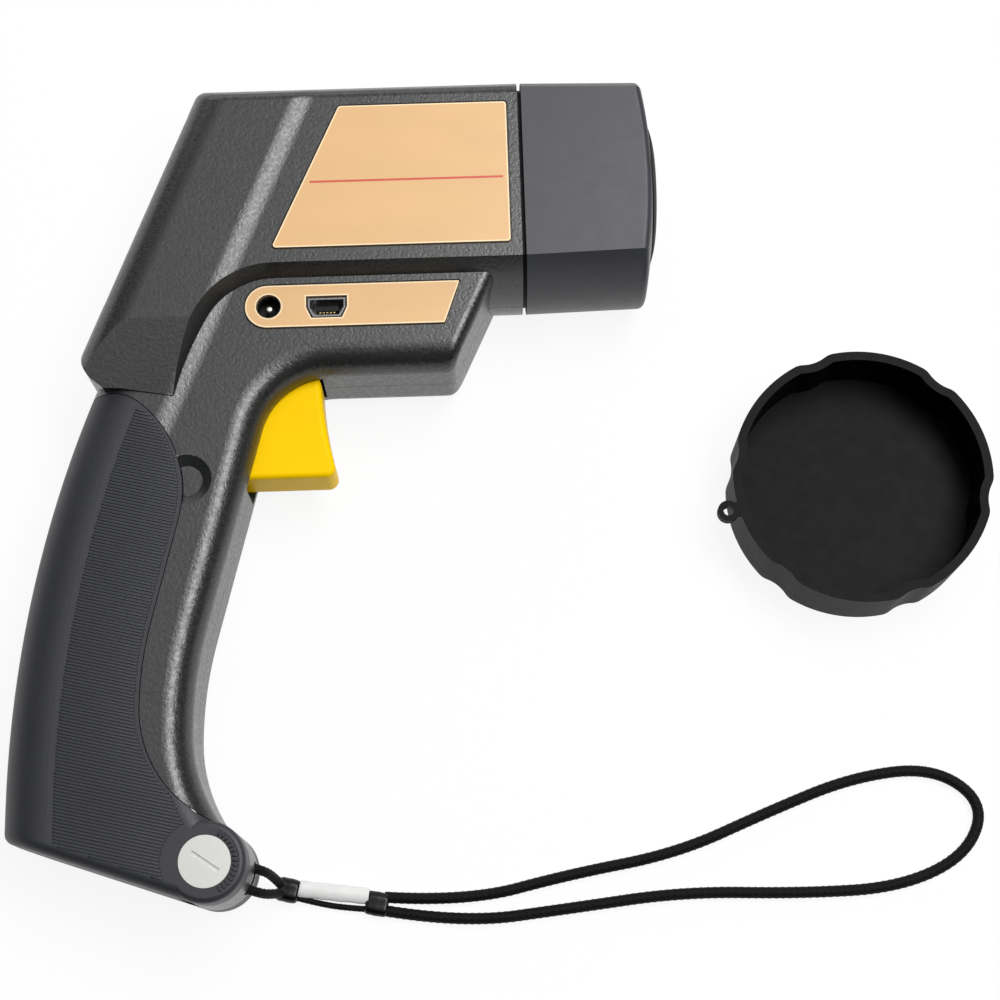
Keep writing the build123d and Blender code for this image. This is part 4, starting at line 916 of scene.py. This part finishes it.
class METER_OT_stage(bpy.types.Operator):
    """White floor, soft lamps and light from all round."""
    bl_idname = "colour_meter.stage"
    bl_label = "Floor and Light"

    FLOOR_HALF = 3.0
    WALL_TOP = 0.60              # sines of the heights where the walls end and the sky is full
    SKY_FOOT = 0.90
    FRONT_DARK = -0.35           # how far to the front the sky is dark, and from where it is clear
    FRONT_CLEAR = 0.15
    FRONT_LEAST = 0.08           # share of the sky that is left at the very front
    FLOOR_DROP = 0.02 * MM
    FLOOR_WHITE = (0.95, 0.95, 0.95, 1)
    # Place and size in metres of each lamp; both point at the origin
    RIGHT_STRIP = ((0.40, 0.16, 1.05), (0.42, 1.0))
    BACK_LAMP = ((-0.2, 1.2, 0.45), (0.5, 1.6))

    def lamp(self, name, spot, power):
        """Rectangular lamp that points at the origin."""
        place, size = spot
        data = bpy.data.lights.new(name, "AREA")
        data.shape = "RECTANGLE"
        data.size, data.size_y = size
        data.energy = power
        lamp = bpy.data.objects.new(name, data)
        bpy.context.scene.collection.objects.link(lamp)
        lamp.location = place
        lamp.rotation_euler = (-Vector(place)).to_track_quat("-Z", "X").to_euler()

    def seen(self, tree, rays):
        """1 for each of these kinds of ray, such as those from the camera."""
        path = tree.nodes.new("ShaderNodeLightPath")
        total = path.outputs[rays[0]]
        for name in rays[1:]:
            largest = tree.nodes.new("ShaderNodeMath")
            largest.operation = "MAXIMUM"
            tree.links.new(total, largest.inputs[0])
            tree.links.new(path.outputs[name], largest.inputs[1])
            total = largest.outputs["Value"]
        return total

    def floor(self, shadow):
        """Floor that looks white to the camera and keeps a share of its own shading."""
        mesh = bmesh.new()
        half = self.FLOOR_HALF
        corners = [mesh.verts.new((x, y, -self.FLOOR_DROP)) for x, y in
                   ((-half, -half), (half, -half), (half, half), (-half, half))]
        mesh.faces.new(corners)
        data = bpy.data.meshes.new("floor")
        mesh.to_mesh(data)
        mesh.free()
        floor = bpy.data.objects.new("floor", data)
        bpy.context.scene.collection.objects.link(floor)
        paint = bpy.data.materials.new("floor_white")
        paint.use_nodes = True
        tree = paint.node_tree
        tree.nodes.clear()
        out = tree.nodes.new("ShaderNodeOutputMaterial")
        diffuse = tree.nodes.new("ShaderNodeBsdfDiffuse")
        diffuse.inputs["Color"].default_value = self.FLOOR_WHITE
        white = tree.nodes.new("ShaderNodeEmission")
        share = tree.nodes.new("ShaderNodeMath")
        share.operation = "MULTIPLY"
        share.inputs[1].default_value = 1 - shadow
        mix = tree.nodes.new("ShaderNodeMixShader")
        rays = self.seen(tree, ("Is Camera Ray", "Is Glossy Ray", "Is Transmission Ray"))
        tree.links.new(rays, share.inputs[0])
        tree.links.new(share.outputs["Value"], mix.inputs["Fac"])
        tree.links.new(diffuse.outputs["BSDF"], mix.inputs[1])
        tree.links.new(white.outputs["Emission"], mix.inputs[2])
        tree.links.new(mix.outputs["Shader"], out.inputs["Surface"])
        data.materials.append(paint)

    def world(self, ambient, horizon):
        """White behind the object; round it, dark walls under a pale sky."""
        world = bpy.data.worlds.new("studio")
        bpy.context.scene.world = world
        world.use_nodes = True
        tree = world.node_tree
        background = tree.nodes["Background"]
        background.inputs["Color"].default_value = (1, 1, 1, 1)
        place = tree.nodes.new("ShaderNodeTexCoord")
        split = tree.nodes.new("ShaderNodeSeparateXYZ")
        tree.links.new(place.outputs["Generated"], split.inputs["Vector"])
        sky = tree.nodes.new("ShaderNodeMapRange")
        sky.interpolation_type = "SMOOTHSTEP"
        set_inputs(sky, {"From Min": self.WALL_TOP, "From Max": self.SKY_FOOT,
                         "To Min": horizon, "To Max": ambient})
        tree.links.new(split.outputs["Z"], sky.inputs["Value"])
        front = tree.nodes.new("ShaderNodeMapRange")
        front.interpolation_type = "SMOOTHSTEP"
        set_inputs(front, {"From Min": self.FRONT_DARK, "From Max": self.FRONT_CLEAR,
                           "To Min": self.FRONT_LEAST})
        tree.links.new(split.outputs["Y"], front.inputs["Value"])
        light = tree.nodes.new("ShaderNodeMath")
        light.operation = "MULTIPLY"
        tree.links.new(sky.outputs["Result"], light.inputs[0])
        tree.links.new(front.outputs["Result"], light.inputs[1])
        span = tree.nodes.new("ShaderNodeMapRange")
        span.inputs["To Max"].default_value = 1.0
        tree.links.new(light.outputs["Value"], span.inputs["To Min"])
        rays = self.seen(tree, ("Is Camera Ray", "Is Transmission Ray"))
        tree.links.new(rays, span.inputs["Value"])
        tree.links.new(span.outputs["Result"], background.inputs["Strength"])

    def execute(self, context):
        stage = context.scene.meter_stage
        context.scene.view_settings.view_transform = "Standard"
        self.floor(stage.shadow)
        self.world(stage.ambient, stage.horizon)
        self.lamp("right_strip", self.RIGHT_STRIP, stage.right_power)
        self.lamp("back_lamp", self.BACK_LAMP, stage.back_power)
        return {"FINISHED"}


STEPS = (METER_OT_camera, METER_OT_strap, METER_OT_housing, METER_OT_door, METER_OT_muzzle,
         METER_OT_plates, METER_OT_sockets, METER_OT_display, METER_OT_trigger, METER_OT_cap,
         METER_OT_stage)


class METER_PT_build(bpy.types.Panel):
    """Sidebar panel that lists every step."""
    bl_idname = "METER_PT_build"
    bl_label = "Colour Meter"
    bl_space_type = "VIEW_3D"
    bl_region_type = "UI"
    bl_category = "Meter"

    def draw(self, context):
        scene = context.scene
        for group in (scene.meter_colours, scene.meter_sizes, scene.meter_stage):
            box = self.layout.box()
            for name in group.__annotations__:
                box.prop(group, name)
        for step in STEPS:
            self.layout.operator(step.bl_idname)


CLASSES = (MeterColours, MeterSizes, MeterStage, *STEPS, METER_PT_build)
GROUPS = (("meter_colours", MeterColours), ("meter_sizes", MeterSizes), ("meter_stage", MeterStage))


def register():
    for made in CLASSES:
        bpy.utils.register_class(made)
    for name, group in GROUPS:
        setattr(bpy.types.Scene, name, PointerProperty(type=group))


def unregister():
    for name, _ in GROUPS:
        delattr(bpy.types.Scene, name)
    for made in reversed(CLASSES):
        bpy.utils.unregister_class(made)


def main():
    """Builds every piece in order."""
    register()
    for step in STEPS:
        group, name = step.bl_idname.split(".")
        getattr(getattr(bpy.ops, group), name)()


if __name__ == "__main__":
    main()
